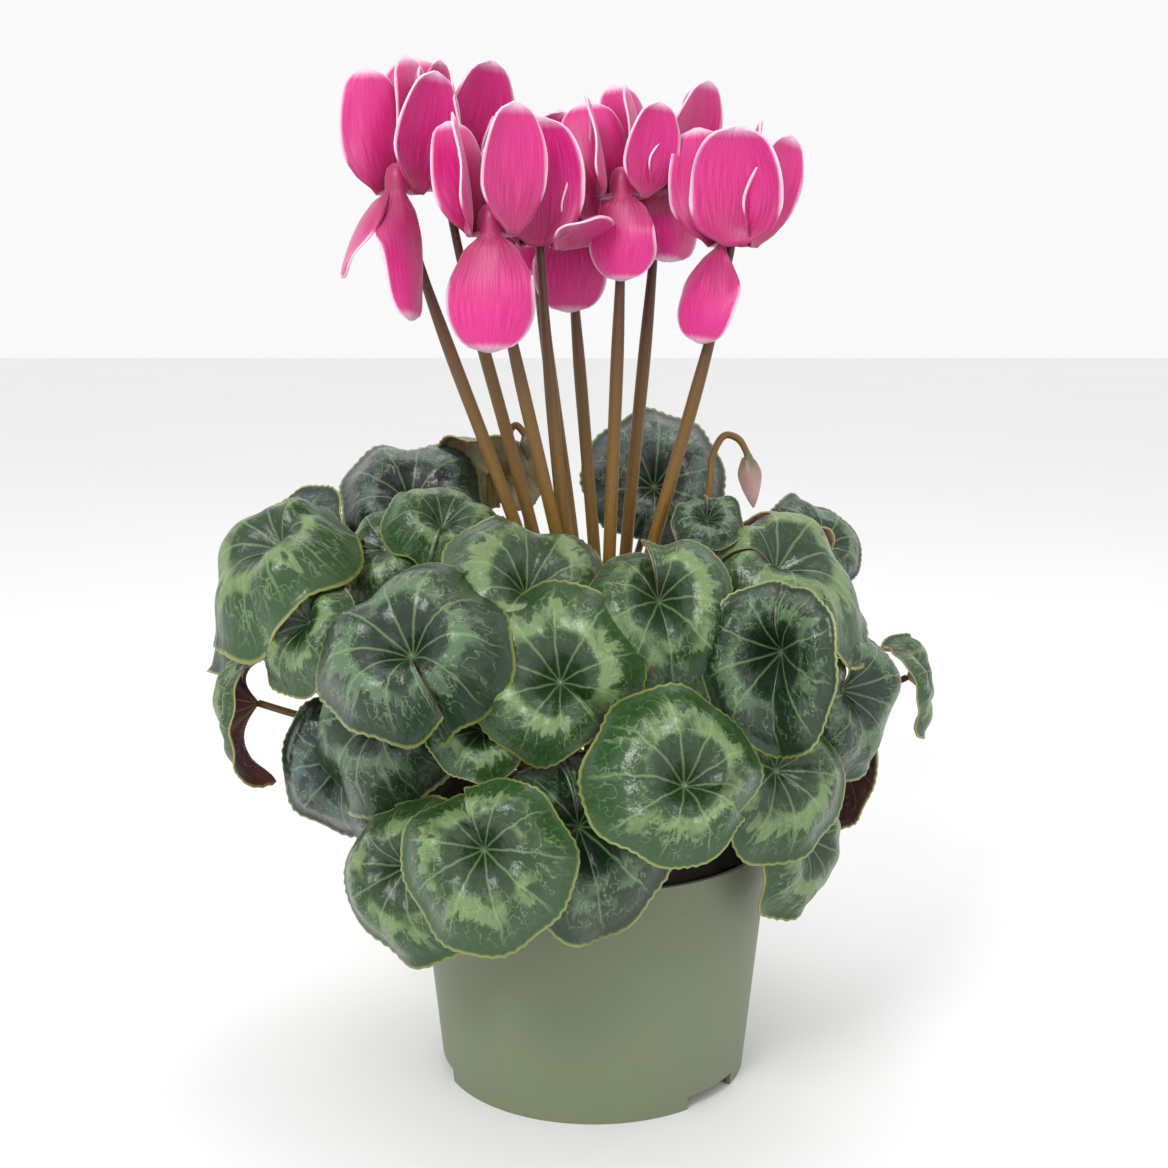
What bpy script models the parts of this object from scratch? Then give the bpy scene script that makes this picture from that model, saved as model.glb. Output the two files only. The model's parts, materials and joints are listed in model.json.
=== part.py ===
"""Potted cyclamen in a 12 cm nursery pot: pot, peat, tuber, leaves, flower stalks, flowers and buds.

Metres, +Z up, standing on Z = 0. The front of the plant faces -Y. Lengths in the tables are millimetres.
"""
import math

import bmesh
import bpy
from mathutils import Vector

MM = 0.001

# Where the pot's axis stands, so that the whole plant is centred over the origin.
POT_X = 2.0
POT_Y = 3.5

# Pot
POT_BASE_RADIUS = 51.4
POT_STEP_RADIUS = 58.7
POT_STEP_HEIGHT = 71.3
POT_RIM_RADIUS = 60.0
POT_HEIGHT = 81.0
POT_WALL = 1.4
POT_SKIRT_HEIGHT = 5.0
POT_SEGMENTS = 48
NOTCH_ANGLES = (49.0, 169.0, -78.0)     # from the front, towards +X
NOTCH_HALF_WIDTH = 13.0                 # degrees
DRAIN_HOLES = 6
DRAIN_RING_RADIUS = 30.0
DRAIN_RADIUS = 5.0

# Peat
SOIL_GAP = 0.4
SOIL_BOTTOM = 8.0
SOIL_EDGE = 78.0
SOIL_TOP = 92.0
SOIL_SECTORS = 28
HEAP_ANGLE = 196.0                      # the heap that leans over the rim, to the left
HEAP_SPREAD = 38.0
HEAP_RISE = 17.0
HEAP_REACH = 9.0

# Rings of the peat above the rim: share of the radius, share of the rise, share of the reach
SOIL_RINGS = (
    (1.0, 0.0, 0.0), (0.97, 0.18, 0.9), (0.94, 0.5, 1.0), (0.78, 0.85, 0.75), (0.6, 1.0, 0.45),
)

# Tuber, half sunk in the peat
TUBER_RADIUS = 25.0
TUBER_HEIGHT = 16.0
TUBER_CENTRE_Z = 93.0
SEAT_GAP = 0.3

# Stems
PETIOLE_RADIUS = 1.35
STALK_RADIUS = 2.1
STEM_SIDES = 6

# Leaf sheet
LEAF_THICKNESS = 0.9
LEAF_RINGS = 2
LEAF_SECTORS = 12
SINUS_HALF_ANGLE = 14.0                 # half of the slot behind the petiole

# Flower
PETAL_THICKNESS = 0.8
PETAL_ROWS = 4
TUBE_RADIUS = 4.0
TUBE_LENGTH = 8.0
STALK_SEAT_DEPTH = 2.1                  # from the tube's closed end down to the stalk's end

# Each leaf: where the petiole meets the blade (x, y, z from the pot's axis), blade radius,
# the bearing that its upper side leans to (0 = +X, -90 = front), how far it leans from level,
# the turn of its tip from straight downhill, and its shape: cup, fold along the midrib,
# curl of the margin, waves, and lap, which lifts one back lobe over the other. The last two
# are the petiole's seat on the tuber: its distance from the axis and its bearing.
LEAVES = {
    "leaf_front":         ( -31, -100,  109,  29,   -96,  66,    15, 0.26, 0.12, 0.32, 0.08, 0.18, 21,   -70),
    "leaf_front_left":    ( -55,  -72,   94,  30,  -115,  77,    20, 0.18, 0.10, 0.35, 0.09, 0.05, 18,   -91),
    "leaf_front_right":   (  -5,  -77,  108,  34,   -82,  72,    12, 0.26, 0.38, 0.30, 0.06, 0.08, 18,   -38),
    "leaf_spiral":        (  25,  -90,  124,  30,   -78,  61,  -135, 0.40, 0.00, 0.25, 0.07, 0.26, 18,   -15),
    "leaf_under_spiral":  (  55,  -51,  117,  28,   -69,  68,     5, 0.16, 0.12, 0.22, 0.07, 0.00, 18,     9),
    "leaf_right_tail":    (  66,  -34,   90,  27,   -38,  88,   -15, 0.05, 0.15, 0.10, 0.04, 0.00, 21,    50),
    "leaf_rim_shadow":    (  24,   13,   79,  22,  -139,  40,     0, 0.10, 0.00, 0.20, 0.05, 0.00, 21,    11),
    "leaf_cup_small":     ( -33,  -67,  134,  17,   -92,  58,   -25, 0.45, 0.00, 0.05, 0.08, 0.10, 18,   -73),
    "leaf_centre":        ( -10,  -69,  149,  32,   -92,  68,  -140, 0.40, 0.14, 0.35, 0.08, 0.18, 15,   -57),
    "leaf_mid_shadow":    (  21,  -49,  151,  23,   -94,  60,    20, 0.20, 0.10, 0.28, 0.07, 0.00, 15,   -19),
    "leaf_upper_mid":     ( -21,  -45,  170,  32,   -76,  50,   175, 0.26, 0.18, 0.38, 0.09, 0.10, 15,   -81),
    "leaf_heart":         (  19,  -53,  170,  30,   -88,  62,    10, 0.22, 0.34, 0.42, 0.08, 0.15, 15,   -38),
    "leaf_cup_high":      (  36,  -14,  188,  13,   -90,  42,     0, 0.45, 0.00, 0.05, 0.08, 0.10, 15,    38),
    "leaf_left_big":      ( -52,  -77,  158,  35,  -104,  52,  -150, 0.34, 0.12, 0.50, 0.08, 0.12, 18,  -118),
    "leaf_left_under":    ( -63,  -45,  132,  32,  -115,  61,   -40, 0.20, 0.15, 0.45, 0.07, 0.00, 21,  -130),
    "leaf_left_droop":    ( -78,  -26,  115,  30,  -104,  86,    -5, 0.08, 0.28, 0.25, 0.08, 0.00, 18,  -145),
    "leaf_left_fold":     (-111,   -4,  126,  27,  -165,  84,     0, 0.05, 0.55, 0.10, 0.04, 0.00, 21,  -170),
    "leaf_left_rim":      ( -88,  -32,  159,  24,  -122,  66,   -20, 0.14, 0.30, 0.22, 0.07, 0.00, 15,  -102),
    "leaf_far_left":      ( -99,  -16,  179,  35,  -133,  38,   -25, 0.10, 0.22, 0.45, 0.09, 0.00, 15,  -119),
    "leaf_far_under":     (-111,   29,  145,  28,  -163,  33,   -20, 0.10, 0.20, 0.15, 0.05, 0.00, 15,  -171),
    "leaf_back_point":    ( -97,   11,  174,  23,  -112,  76,   170, 0.05, 0.35, 0.10, 0.04, 0.00, 15,   171),
    "leaf_back_left":     ( -63,   31,  187,  30,   -85,  53,   170, 0.22, 0.12, 0.35, 0.08, 0.05, 15,   156),
    "leaf_curl_left":     ( -67,   -4,  177,  25,  -118,  42,   -60, 0.05, 0.20, 0.35, 0.07, 0.00, 15,  -152),
    "leaf_curl_mid":      ( -49,   -9,  185,  24,   -72,  39,   150, 0.15, 0.20, 0.35, 0.07, 0.00, 15,  -133),
    "leaf_pale_back":     ( -37,   61,  194,  24,    78,  53,   180, 0.10, 0.00, 0.15, 0.05, 0.00, 15,   114),
    "leaf_back_centre":   (  22,   60,  189,  31,   -88,  68,   175, 0.24, 0.14, 0.30, 0.07, 0.10, 15,    95),
    "leaf_right_big":     (  57,  -23,  173,  36,   -65,  33,    55, 0.10, 0.30, 0.45, 0.09, 0.00, 15,    19),
    "leaf_pink_back":     (  62,   17,  175,  21,    85,  52,   180, 0.10, 0.00, 0.20, 0.05, 0.00, 15,    59),
    "leaf_dark_back":     (  79,   37,  171,  22,   -60,  56,   170, 0.10, 0.00, 0.15, 0.05, 0.00, 21,    76),
    "leaf_right_glossy":  (  78,  -22,  135,  29,   -49,  75,    25, 0.34, 0.10, 0.28, 0.07, 0.05, 18,    62),
    "leaf_right_fold":    (  56,  -57,  156,  32,  -112,  80,     0, 0.10, 0.60, 0.15, 0.05, 0.00, 15,    -2),
    "leaf_red_hang":      (  84,   24,   99,  28,    32, 104,     0, 0.05, 0.25, 0.15, 0.04, 0.00, 18,    74),
    "leaf_far_right":     ( 117,   68,  117,  24,   -15,  70,    10, 0.05, 0.35, 0.15, 0.05, 0.00, 21,    64),
    "leaf_rear_left":     ( -74,   47,  147,  34,   150,  56,     0, 0.15, 0.05, 0.25, 0.06, 0.05, 15,   133),
    "leaf_rear_mid_left": ( -34,   74,  140,  35,   115,  60,     0, 0.15, 0.05, 0.25, 0.06, 0.10, 21,   170),
    "leaf_rear_mid_right":(  18,   87,  133,  35,    84,  62,     0, 0.15, 0.05, 0.25, 0.06, 0.10, 21,   150),
    "leaf_rear_right":    (  62,   74,  140,  34,    45,  69,     0, 0.15, 0.05, 0.25, 0.06, 0.05, 21,   121),
}

# Ring on the tuber that the flower stalks grow from.
INNER_RING = 8.5

# Each flower: nose (x, y, z), bearing of the hook, and its petals as
# (bearing, lean from upright, turn about its length, length, width, cup).
FLOWERS = {
    "flower_1": ((-61, -8, 292), (
        (-62, 161, 27, 42, 15), (-20, 10, 30, 44, 18), (35, 2, 36, 46, 14),
        (145, 8, 30, 46, 18), (165, 150, 22, 31, 19))),
    "flower_2": ((-48, 14, 294), (
        (-90, 8, 59, 47, 21), (-24, 14, 24, 48, 21), (55, 16, 30, 46, 20),
        (135, 10, 30, 50, 22), (200, 7, 42, 49, 20))),
    "flower_3": ((-31, -30, 279), (
        (-92, 170, -6, 36, 22), (-45, 2, 10, 46, 18), (15, 10, 48, 42, 15),
        (150, 14, 18, 42, 18), (215, 8, 30, 43, 17))),
    "flower_4": ((-22, 46, 292), (
        (-93, 164, 6, 28, 19), (-20, 12, 54, 36, 19), (45, 12, 24, 38, 18),
        (135, 12, 24, 39, 20), (195, 16, 36, 38, 18))),
    "flower_5": ((-17, -10, 276), (
        (-84, 2, 4, 46, 23), (-22, 60, 10, 24, 18), (30, 4, 24, 42, 19),
        (140, 10, 30, 42, 20), (196, 14, 54, 40, 12))),
    "flower_6": ((-8, 26, 283), (
        (-85, 170, 0, 30, 20), (-30, 10, 30, 38, 18), (50, 16, 30, 38, 18),
        (135, 12, 30, 38, 20), (200, 14, 30, 38, 18))),
    "flower_7": ((9, -5, 291), (
        (-93, 174, -20, 27, 18), (-30, 10, 32, 36, 15), (40, 24, 42, 36, 19),
        (125, 18, 24, 38, 19), (204, 10, 20, 38, 18))),
    "flower_8": ((21, 16, 294), (
        (-70, 158, 10, 26, 22), (-24, 16, 20, 42, 18), (40, 12, 36, 40, 19),
        (150, 16, 24, 42, 18), (204, 8, 30, 40, 18))),
    "flower_9": ((43, -10, 276), (
        (-88, 7, 20, 43, 24), (-3, 18, 48, 42, 17), (25, 6, 36, 46, 19),
        (140, 10, 30, 44, 20), (215, 166, 20, 32, 17))),
}

# How a bud swells along its length, as shares of its length and radius.
BUD_SWELL = ((0.12, 0.62), (0.35, 1.0), (0.6, 0.82), (0.85, 0.42), (1.0, 0.08))

# Buds: stalk route from the tuber's ring to the bud, bud length and radius.
BUDS = {
    "bud_right": {
        "route": ((38, 6, 196), (39, 9, 206), (43, 12, 213), (48, 12, 212), (51, 12, 207)),
        "heading": (2, 0, -15), "stalk": 1.2, "length": 18.0, "radius": 4.0,
    },
    "bud_left": {
        "route": ((-24, 16, 198), (-28, 17, 212), (-26, 18, 216), (-23, 18, 213)),
        "heading": (1, 0, -8), "stalk": 1.2, "length": 9.0, "radius": 2.2,
    },
}


def smooth(t):
    t = min(max(t, 0.0), 1.0)
    return t * t * (3.0 - 2.0 * t)


def polar(radius, degrees, z=0.0):
    a = math.radians(degrees)
    return Vector((radius * math.cos(a), radius * math.sin(a), z))


def start_empty():
    for obj in list(bpy.data.objects):
        bpy.data.objects.remove(obj, do_unlink=True)
    for collection in list(bpy.data.collections):
        bpy.data.collections.remove(collection)


def new_collection(name, hidden=False):
    collection = bpy.data.collections.new(name)
    collection.hide_render = hidden
    bpy.context.scene.collection.children.link(collection)
    return collection


def make_material(name, colour, roughness):
    material = bpy.data.materials.new(name)
    material.use_nodes = True
    shader = material.node_tree.nodes["Principled BSDF"]
    shader.inputs["Base Color"].default_value = (*colour, 1.0)
    shader.inputs["Roughness"].default_value = roughness
    shader.inputs["Metallic"].default_value = 0.0
    return material


def add_object(name, data, collection, material=None):
    obj = bpy.data.objects.new(name, data)
    collection.objects.link(obj)
    obj.location = (POT_X * MM, POT_Y * MM, 0.0)
    if material:
        data.materials.append(material)
    return obj


def mesh_from(name, points, faces):
    """A mesh from points in millimetres, with its faces turned the same way out."""
    mesh = bpy.data.meshes.new(name)
    mesh.from_pydata([Vector(p) * MM for p in points], [], faces)
    mesh.validate()
    mesh.update()
    return mesh


def face_outwards(mesh):
    work = bmesh.new()
    work.from_mesh(mesh)
    bmesh.ops.recalc_face_normals(work, faces=work.faces)
    work.to_mesh(mesh)
    work.free()


def bake(obj):
    """The object's evaluated mesh, in place of its modifiers or curve."""
    bpy.context.view_layer.update()
    evaluated = obj.evaluated_get(bpy.context.evaluated_depsgraph_get())
    mesh = bpy.data.meshes.new_from_object(evaluated)
    work = bmesh.new()
    work.from_mesh(mesh)
    bmesh.ops.remove_doubles(work, verts=work.verts, dist=1e-6)
    work.to_mesh(mesh)
    work.free()
    return mesh


def tube(name, points, radii, collection, material, sides=STEM_SIDES):
    """A closed tube through the points, with a radius at each."""
    curve = bpy.data.curves.new(name, "CURVE")
    curve.dimensions = "3D"
    curve.bevel_depth = MM
    curve.bevel_resolution = sides // 2 - 2
    curve.use_fill_caps = True
    spline = curve.splines.new("POLY")
    spline.points.add(len(points) - 1)
    for place, point, radius in zip(spline.points, points, radii):
        place.co = (*(Vector(point) * MM), 1.0)
        place.radius = radius
    guide = add_object(name + "_route", curve, collection)
    mesh = bake(guide)
    bpy.data.objects.remove(guide, do_unlink=True)
    mesh.materials.clear()
    mesh.name = name
    face_outwards(mesh)
    obj = add_object(name, mesh, collection, material)
    mesh.shade_smooth()
    return obj


def cubic(a, b, c, d, count):
    """Points of a cubic Bezier, ends included."""
    points = []
    for i in range(count):
        t = i / (count - 1)
        s = 1.0 - t
        points.append(a * s**3 + b * (3 * s * s * t) + c * (3 * s * t * t) + d * t**3)
    return points


def cut(obj, cutters):
    for cutter in cutters:
        modifier = obj.modifiers.new("cut_" + cutter.name, "BOOLEAN")
        modifier.operation = "DIFFERENCE"
        modifier.object = cutter


def cutter_from(name, work, collection):
    mesh = bpy.data.meshes.new(name)
    work.to_mesh(mesh)
    work.free()
    obj = add_object(name, mesh, collection)
    obj.hide_render = True
    obj.display_type = "WIRE"
    return obj


def notch_cutter(index, bearing, collection):
    """A wedge that opens the foot skirt between two feet."""
    inner, outer = POT_BASE_RADIUS - 6.0, POT_BASE_RADIUS + 6.0
    angles = (bearing - NOTCH_HALF_WIDTH, bearing, bearing + NOTCH_HALF_WIDTH)
    work = bmesh.new()
    rings = []
    for z in (-2.0, POT_SKIRT_HEIGHT - 0.6):
        low = [polar(inner, a - 90.0, z) * MM for a in angles]
        high = [polar(outer, a - 90.0, z) * MM for a in reversed(angles)]
        rings.append([work.verts.new(p) for p in low + high])
    count = len(rings[0])
    for i in range(count):
        j = (i + 1) % count
        work.faces.new((rings[0][i], rings[0][j], rings[1][j], rings[1][i]))
    work.faces.new(list(reversed(rings[0])))
    work.faces.new(rings[1])
    bmesh.ops.recalc_face_normals(work, faces=work.faces)
    return cutter_from(f"cut_notch_{index}", work, collection)


def drain_cutter(index, collection):
    work = bmesh.new()
    bmesh.ops.create_cone(
        work, cap_ends=True, segments=10, radius1=DRAIN_RADIUS * MM,
        radius2=DRAIN_RADIUS * MM, depth=6.0 * MM,
    )
    place = polar(DRAIN_RING_RADIUS, 360.0 * index / DRAIN_HOLES, POT_SKIRT_HEIGHT + 0.5) * MM
    bmesh.ops.translate(work, verts=work.verts, vec=place)
    return cutter_from(f"cut_drain_{index}", work, collection)


def pot(collection, cutters, material):
    """A turned pot on a foot skirt that three notches open, with holes in its floor."""
    taper = (POT_STEP_RADIUS - POT_BASE_RADIUS) / POT_STEP_HEIGHT
    floor = POT_SKIRT_HEIGHT + POT_WALL
    inner_base = POT_BASE_RADIUS + taper * floor - POT_WALL
    profile = [
        (0.0, floor), (inner_base, floor),
        (POT_STEP_RADIUS - POT_WALL, POT_STEP_HEIGHT),
        (POT_RIM_RADIUS - POT_WALL, POT_HEIGHT),
        (POT_RIM_RADIUS, POT_HEIGHT),
        (POT_STEP_RADIUS + 0.5, POT_STEP_HEIGHT + 0.4),
        (POT_STEP_RADIUS, POT_STEP_HEIGHT),
        (POT_BASE_RADIUS, 0.0), (POT_BASE_RADIUS - POT_WALL, 0.0),
        (POT_BASE_RADIUS - POT_WALL + taper * POT_SKIRT_HEIGHT, POT_SKIRT_HEIGHT),
        (0.0, POT_SKIRT_HEIGHT),
    ]
    mesh = bpy.data.meshes.new("pot")
    mesh.from_pydata(
        [(r * MM, 0.0, z * MM) for r, z in profile],
        [(i, i + 1) for i in range(len(profile) - 1)], [],
    )
    obj = add_object("pot", mesh, collection, material)
    screw = obj.modifiers.new("turn", "SCREW")
    screw.steps = POT_SEGMENTS
    screw.render_steps = POT_SEGMENTS
    screw.use_merge_vertices = True
    screw.merge_threshold = 1e-5
    tools = [notch_cutter(i, a, cutters) for i, a in enumerate(NOTCH_ANGLES)]
    tools += [drain_cutter(i, cutters) for i in range(DRAIN_HOLES)]
    cut(obj, tools)
    return obj


def pot_inside(z):
    """Radius of the pot's inner wall at a height."""
    taper = (POT_STEP_RADIUS - POT_BASE_RADIUS) / POT_STEP_HEIGHT
    return POT_BASE_RADIUS + taper * min(z, POT_STEP_HEIGHT) - POT_WALL


def heap_weight(bearing):
    away = (bearing - HEAP_ANGLE + 180.0) % 360.0 - 180.0
    return math.exp(-((away / HEAP_SPREAD) ** 2))


def crumble(bearing, z):
    """Uneven surface of loose peat, in millimetres."""
    a = math.radians(bearing)
    return 0.7 * math.sin(5 * a + 0.23 * z) + 0.5 * math.sin(9 * a - 0.4 * z + 1.0)


def soil_ring(share, level, reach):
    """One ring of the peat above the rim: share of the edge radius, share of the rise, reach of the heap."""
    edge = POT_RIM_RADIUS - POT_WALL - SOIL_GAP - 0.6
    foot = POT_HEIGHT + 0.6
    ring = []
    for i in range(SOIL_SECTORS):
        bearing = 360.0 * i / SOIL_SECTORS
        heap = heap_weight(bearing)
        z = foot + (SOIL_TOP - foot + HEAP_RISE * heap) * level
        rough = crumble(bearing, z) if level > 0.0 else 0.0
        ring.append(polar(edge * share + HEAP_REACH * heap * reach + rough, bearing, z))
    return ring


def level_ring(radius, z):
    return [polar(radius, 360.0 * i / SOIL_SECTORS, z) for i in range(SOIL_SECTORS)]


def soil(collection, material):
    """Peat that fills the pot, with a socket for the tuber, heaped over the rim on one side."""
    low = TUBER_CENTRE_Z - TUBER_HEIGHT - SEAT_GAP + 2.4
    rings = [level_ring(pot_inside(z) - SOIL_GAP, z) for z in (SOIL_BOTTOM, POT_STEP_HEIGHT)]
    rings += [soil_ring(*row) for row in SOIL_RINGS]
    rings.append(level_ring(TUBER_RADIUS + 1.5, SOIL_TOP + 0.5))
    rings.append(level_ring(TUBER_RADIUS + SEAT_GAP, TUBER_CENTRE_Z - 1.0))
    rings.append(level_ring(TUBER_RADIUS * 0.88, low))
    points = [p for ring in rings for p in ring]
    faces = []
    for r in range(len(rings) - 1):
        for i in range(SOIL_SECTORS):
            j = (i + 1) % SOIL_SECTORS
            a, b = r * SOIL_SECTORS, (r + 1) * SOIL_SECTORS
            faces.append((a + i, a + j, b + j, b + i))
    bottom, top = len(points), len(points) + 1
    points += [Vector((0, 0, SOIL_BOTTOM)), Vector((0, 0, low - 3.0))]
    last = (len(rings) - 1) * SOIL_SECTORS
    for i in range(SOIL_SECTORS):
        j = (i + 1) % SOIL_SECTORS
        faces.append((bottom, j, i))
        faces.append((top, last + i, last + j))
    mesh = mesh_from("soil", points, faces)
    face_outwards(mesh)
    return add_object("soil", mesh, collection, material)


def tuber_top(radius):
    """Height of the tuber's upper side at a distance from its axis."""
    share = min(radius / TUBER_RADIUS, 1.0)
    return TUBER_CENTRE_Z + TUBER_HEIGHT * math.sqrt(max(0.0, 1.0 - share * share)) * 0.75


def tuber(collection, material):
    """A flattened, lumpy ball."""
    work = bmesh.new()
    bmesh.ops.create_uvsphere(work, u_segments=20, v_segments=10, radius=1.0)
    for vert in work.verts:
        p = vert.co.copy()
        squash = 0.75 if p.z > 0 else 1.0
        radius = (TUBER_RADIUS - 0.2) * (0.985 + 0.015 * math.sin(4 * math.atan2(p.y, p.x)))
        height = TUBER_HEIGHT * squash
        vert.co = Vector((p.x * radius, p.y * radius, p.z * height + TUBER_CENTRE_Z)) * MM
    mesh = bpy.data.meshes.new("tuber")
    work.to_mesh(mesh)
    work.free()
    return add_object("tuber", mesh, collection, material)


def leaf_frame(face, tilt, spin):
    """Tip, side and upward directions of a blade."""
    a, t, s = (math.radians(v) for v in (face, tilt, spin))
    normal = Vector((math.sin(t) * math.cos(a), math.sin(t) * math.sin(a), math.cos(t)))
    downhill = Vector((math.cos(t) * math.cos(a), math.cos(t) * math.sin(a), -math.sin(t)))
    across = normal.cross(downhill)
    tip = downhill * math.cos(s) + across * math.sin(s)
    return tip, normal.cross(tip), normal


def outline(angle):
    """Blade radius as a share of the largest, at an angle from the tip in radians."""
    return 0.88 + 0.12 * math.cos(angle) - 0.14 * smooth((abs(angle) - 2.0) / 1.1)


def blade_point(angle, share, leaf):
    """A point of the blade's middle surface in its own axes: towards the tip, across, up."""
    radius, cup, fold, curl, wave, lap = leaf[3], *leaf[7:12]
    reach = radius * outline(angle) * share
    x, y = reach * math.cos(angle), reach * math.sin(angle)
    rise = cup * share * (1.3 - 0.55 * share) - curl * share**3 * 0.8
    rise += fold * abs(math.sin(angle)) * share
    rise += wave * share**2 * math.sin(5.0 * angle + 2.0 * face_phase(leaf))
    rise += lap * share * math.copysign(smooth((abs(angle) - 1.2) / 1.9), angle)
    drop = 0.30 * curl * share**2 * max(0.0, math.cos(angle)) ** 2
    squeeze = 1.0 - 0.45 * fold
    return Vector((x, y * squeeze, radius * (rise - drop)))


def face_phase(leaf):
    """A phase that differs from leaf to leaf."""
    return math.radians(leaf[0] * 7.0 + leaf[2] * 3.0)


def leaf_sheet(leaf, rings, sectors):
    """Points and faces of one open blade, from the petiole out."""
    origin = Vector(leaf[:3])
    tip, across, normal = leaf_frame(*leaf[4:7])
    limit = math.pi - math.radians(SINUS_HALF_ANGLE)
    points = [origin]
    for r in range(1, rings + 1):
        for s in range(sectors + 1):
            angle = -limit + 2.0 * limit * s / sectors
            local = blade_point(angle, r / rings, leaf)
            points.append(origin + tip * local.x + across * local.y + normal * local.z)
    faces = [(0, 1 + s, 2 + s) for s in range(sectors)]
    for r in range(rings - 1):
        for s in range(sectors):
            a = 1 + r * (sectors + 1) + s
            b = a + sectors + 1
            faces.append((a, b, b + 1, a + 1))
    return points, faces


def petiole_route(leaf, base):
    """From the tuber out under the blade, then up into its underside."""
    end = Vector(leaf[:3])
    normal = leaf_frame(*leaf[4:7])[2]
    span = (end - base).length
    outward = Vector((base.x, base.y, 0.0)).normalized()
    start = base + (Vector((0, 0, 1)) * 0.75 + outward * 0.35) * span * 0.30
    arrive = end - normal * span * 0.30 - Vector((0, 0, 1)) * span * 0.12
    return cubic(base, start, arrive, end + normal * 0.2, 7)


def add_leaf(name, leaf, base, collection, material):
    points, faces = leaf_sheet(leaf, LEAF_RINGS, LEAF_SECTORS)
    mesh = mesh_from(name, points, faces)
    obj = add_object(name, mesh, collection, material)
    shell = obj.modifiers.new("thickness", "SOLIDIFY")
    shell.thickness = LEAF_THICKNESS * MM
    shell.offset = 0.0
    route = petiole_route(leaf, base)
    radii = [PETIOLE_RADIUS * (1.15 - 0.25 * i / 6) for i in range(7)]
    stem = tube(name + "_petiole", route, radii, collection, material)
    join = obj.modifiers.new("petiole", "BOOLEAN")
    join.operation = "UNION"
    join.object = stem
    whole = bake(obj)
    bpy.data.objects.remove(stem, do_unlink=True)
    obj.modifiers.clear()
    obj.data = whole
    whole.name = name
    return obj


def seat_on_tuber(ring, bearing):
    return polar(ring, bearing, tuber_top(ring) + SEAT_GAP + 0.2)


def ring_places(table, ring):
    """Seats on the tuber, shared out in the order of the stems' bearings."""
    order = sorted(table, key=lambda n: math.atan2(table[n][1], table[n][0]))
    bearings = [-180.0 + 360.0 * (i + 0.5) / len(order) for i in range(len(order))]
    return {name: seat_on_tuber(ring, bearing) for name, bearing in zip(order, bearings)}


def add_leaves(collection, material):
    for name, leaf in LEAVES.items():
        add_leaf(name, leaf, seat_on_tuber(*leaf[12:14]), collection, material)


def petal_path(nose, seat, petal, count):
    """Points, headings and side directions along one petal, from the mouth of the flower."""
    bearing, lean, turn, length = petal[:4]
    steps = 40
    place = nose + polar(TUBE_RADIUS, seat)
    bend = 2.2 * math.radians(180.0 - lean) + 0.5
    rows = [0.0]
    rows += [bend + (length - bend) * (i / (count - 1)) for i in range(count)]
    samples = []
    walked = 0.0
    step = length / steps
    for row in rows:
        while walked < row - 1e-6:
            share = smooth(walked / bend)
            heading = math.radians(180.0 - (180.0 - lean) * share)
            away = seat + ((bearing - seat + 180.0) % 360.0 - 180.0) * smooth(walked / (0.5 * length))
            small = min(step, row - walked)
            place = place + (polar(math.sin(heading), away) + Vector((0, 0, math.cos(heading)))) * small
            walked += small
        share = smooth(walked / bend)
        heading = math.radians(180.0 - (180.0 - lean) * share)
        away = seat + ((bearing - seat + 180.0) % 360.0 - 180.0) * smooth(walked / (0.5 * length))
        ahead = polar(math.sin(heading), away) + Vector((0, 0, math.cos(heading)))
        side = Vector((0, 0, 1)).cross(polar(1.0, away)).normalized()
        angle = math.radians(turn) * smooth(walked / (0.5 * length))
        normal = side.cross(ahead).normalized()
        side = side * math.cos(angle) + normal * math.sin(angle)
        samples.append((place, side, side.cross(ahead).normalized(), walked / length))
    return samples


def petal_half_width(share, width):
    if share > 0.58:
        return 0.5 * width * math.sqrt(max(0.0, 1.0 - ((share - 0.58) / 0.44) ** 2))
    return 0.5 * width * (0.28 + 0.72 * smooth(share / 0.58))


SEATS = (-90.0, -24.0, 40.0, 140.0, 204.0)
SEAT_EDGES = (-123.0, -57.0, 8.0, 90.0, 172.0)


def corolla(name, flower, collection, material):
    """Five petals swept back from a short tube whose mouth looks down."""
    nose = Vector(flower[0])
    angles = []
    for k in range(5):
        angles += [SEAT_EDGES[k], SEATS[k]]
    points = [nose + Vector((0, 0, TUBE_LENGTH))]
    for radius, height in ((TUBE_RADIUS * 0.85, TUBE_LENGTH * 0.75), (TUBE_RADIUS, 0.0)):
        points += [nose + polar(radius, a, height) for a in angles]
    faces = [(0, 1 + i, 1 + (i + 1) % 10) for i in range(10)]
    faces += [(1 + i, 11 + i, 11 + (i + 1) % 10, 1 + (i + 1) % 10) for i in range(10)]
    for k in range(5):
        row = [11 + 2 * k, 12 + 2 * k, 11 + (2 * k + 2) % 10]
        for place, side, normal, share in petal_path(nose, SEATS[k], flower[1][k], PETAL_ROWS)[1:]:
            half = petal_half_width(share, flower[1][k][4])
            cup = 0.22 * half
            start = len(points)
            points += [place - side * half, place - normal * cup, place + side * half]
            new = [start, start + 1, start + 2]
            for i in range(2):
                faces.append((row[i], new[i], new[i + 1], row[i + 1]))
            row = new
    mesh = mesh_from(name, points, faces)
    obj = add_object(name, mesh, collection, material)
    shell = obj.modifiers.new("thickness", "SOLIDIFY")
    shell.thickness = PETAL_THICKNESS * MM
    shell.offset = 0.0
    return obj


def stalk_route(nose, base):
    """Up from the tuber and into the flower's tube, to just under its closed end."""
    end = nose + Vector((0, 0, TUBE_LENGTH - STALK_SEAT_DEPTH))
    span = (nose - base).length
    start = base + Vector((0, 0, 0.3 * span))
    lean = (nose - base).normalized() + Vector((0, 0, 0.4))
    points = cubic(base, start, nose - lean * 0.2 * span, nose + Vector((0, 0, 1.0)), 8)
    return points + [end]


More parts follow.
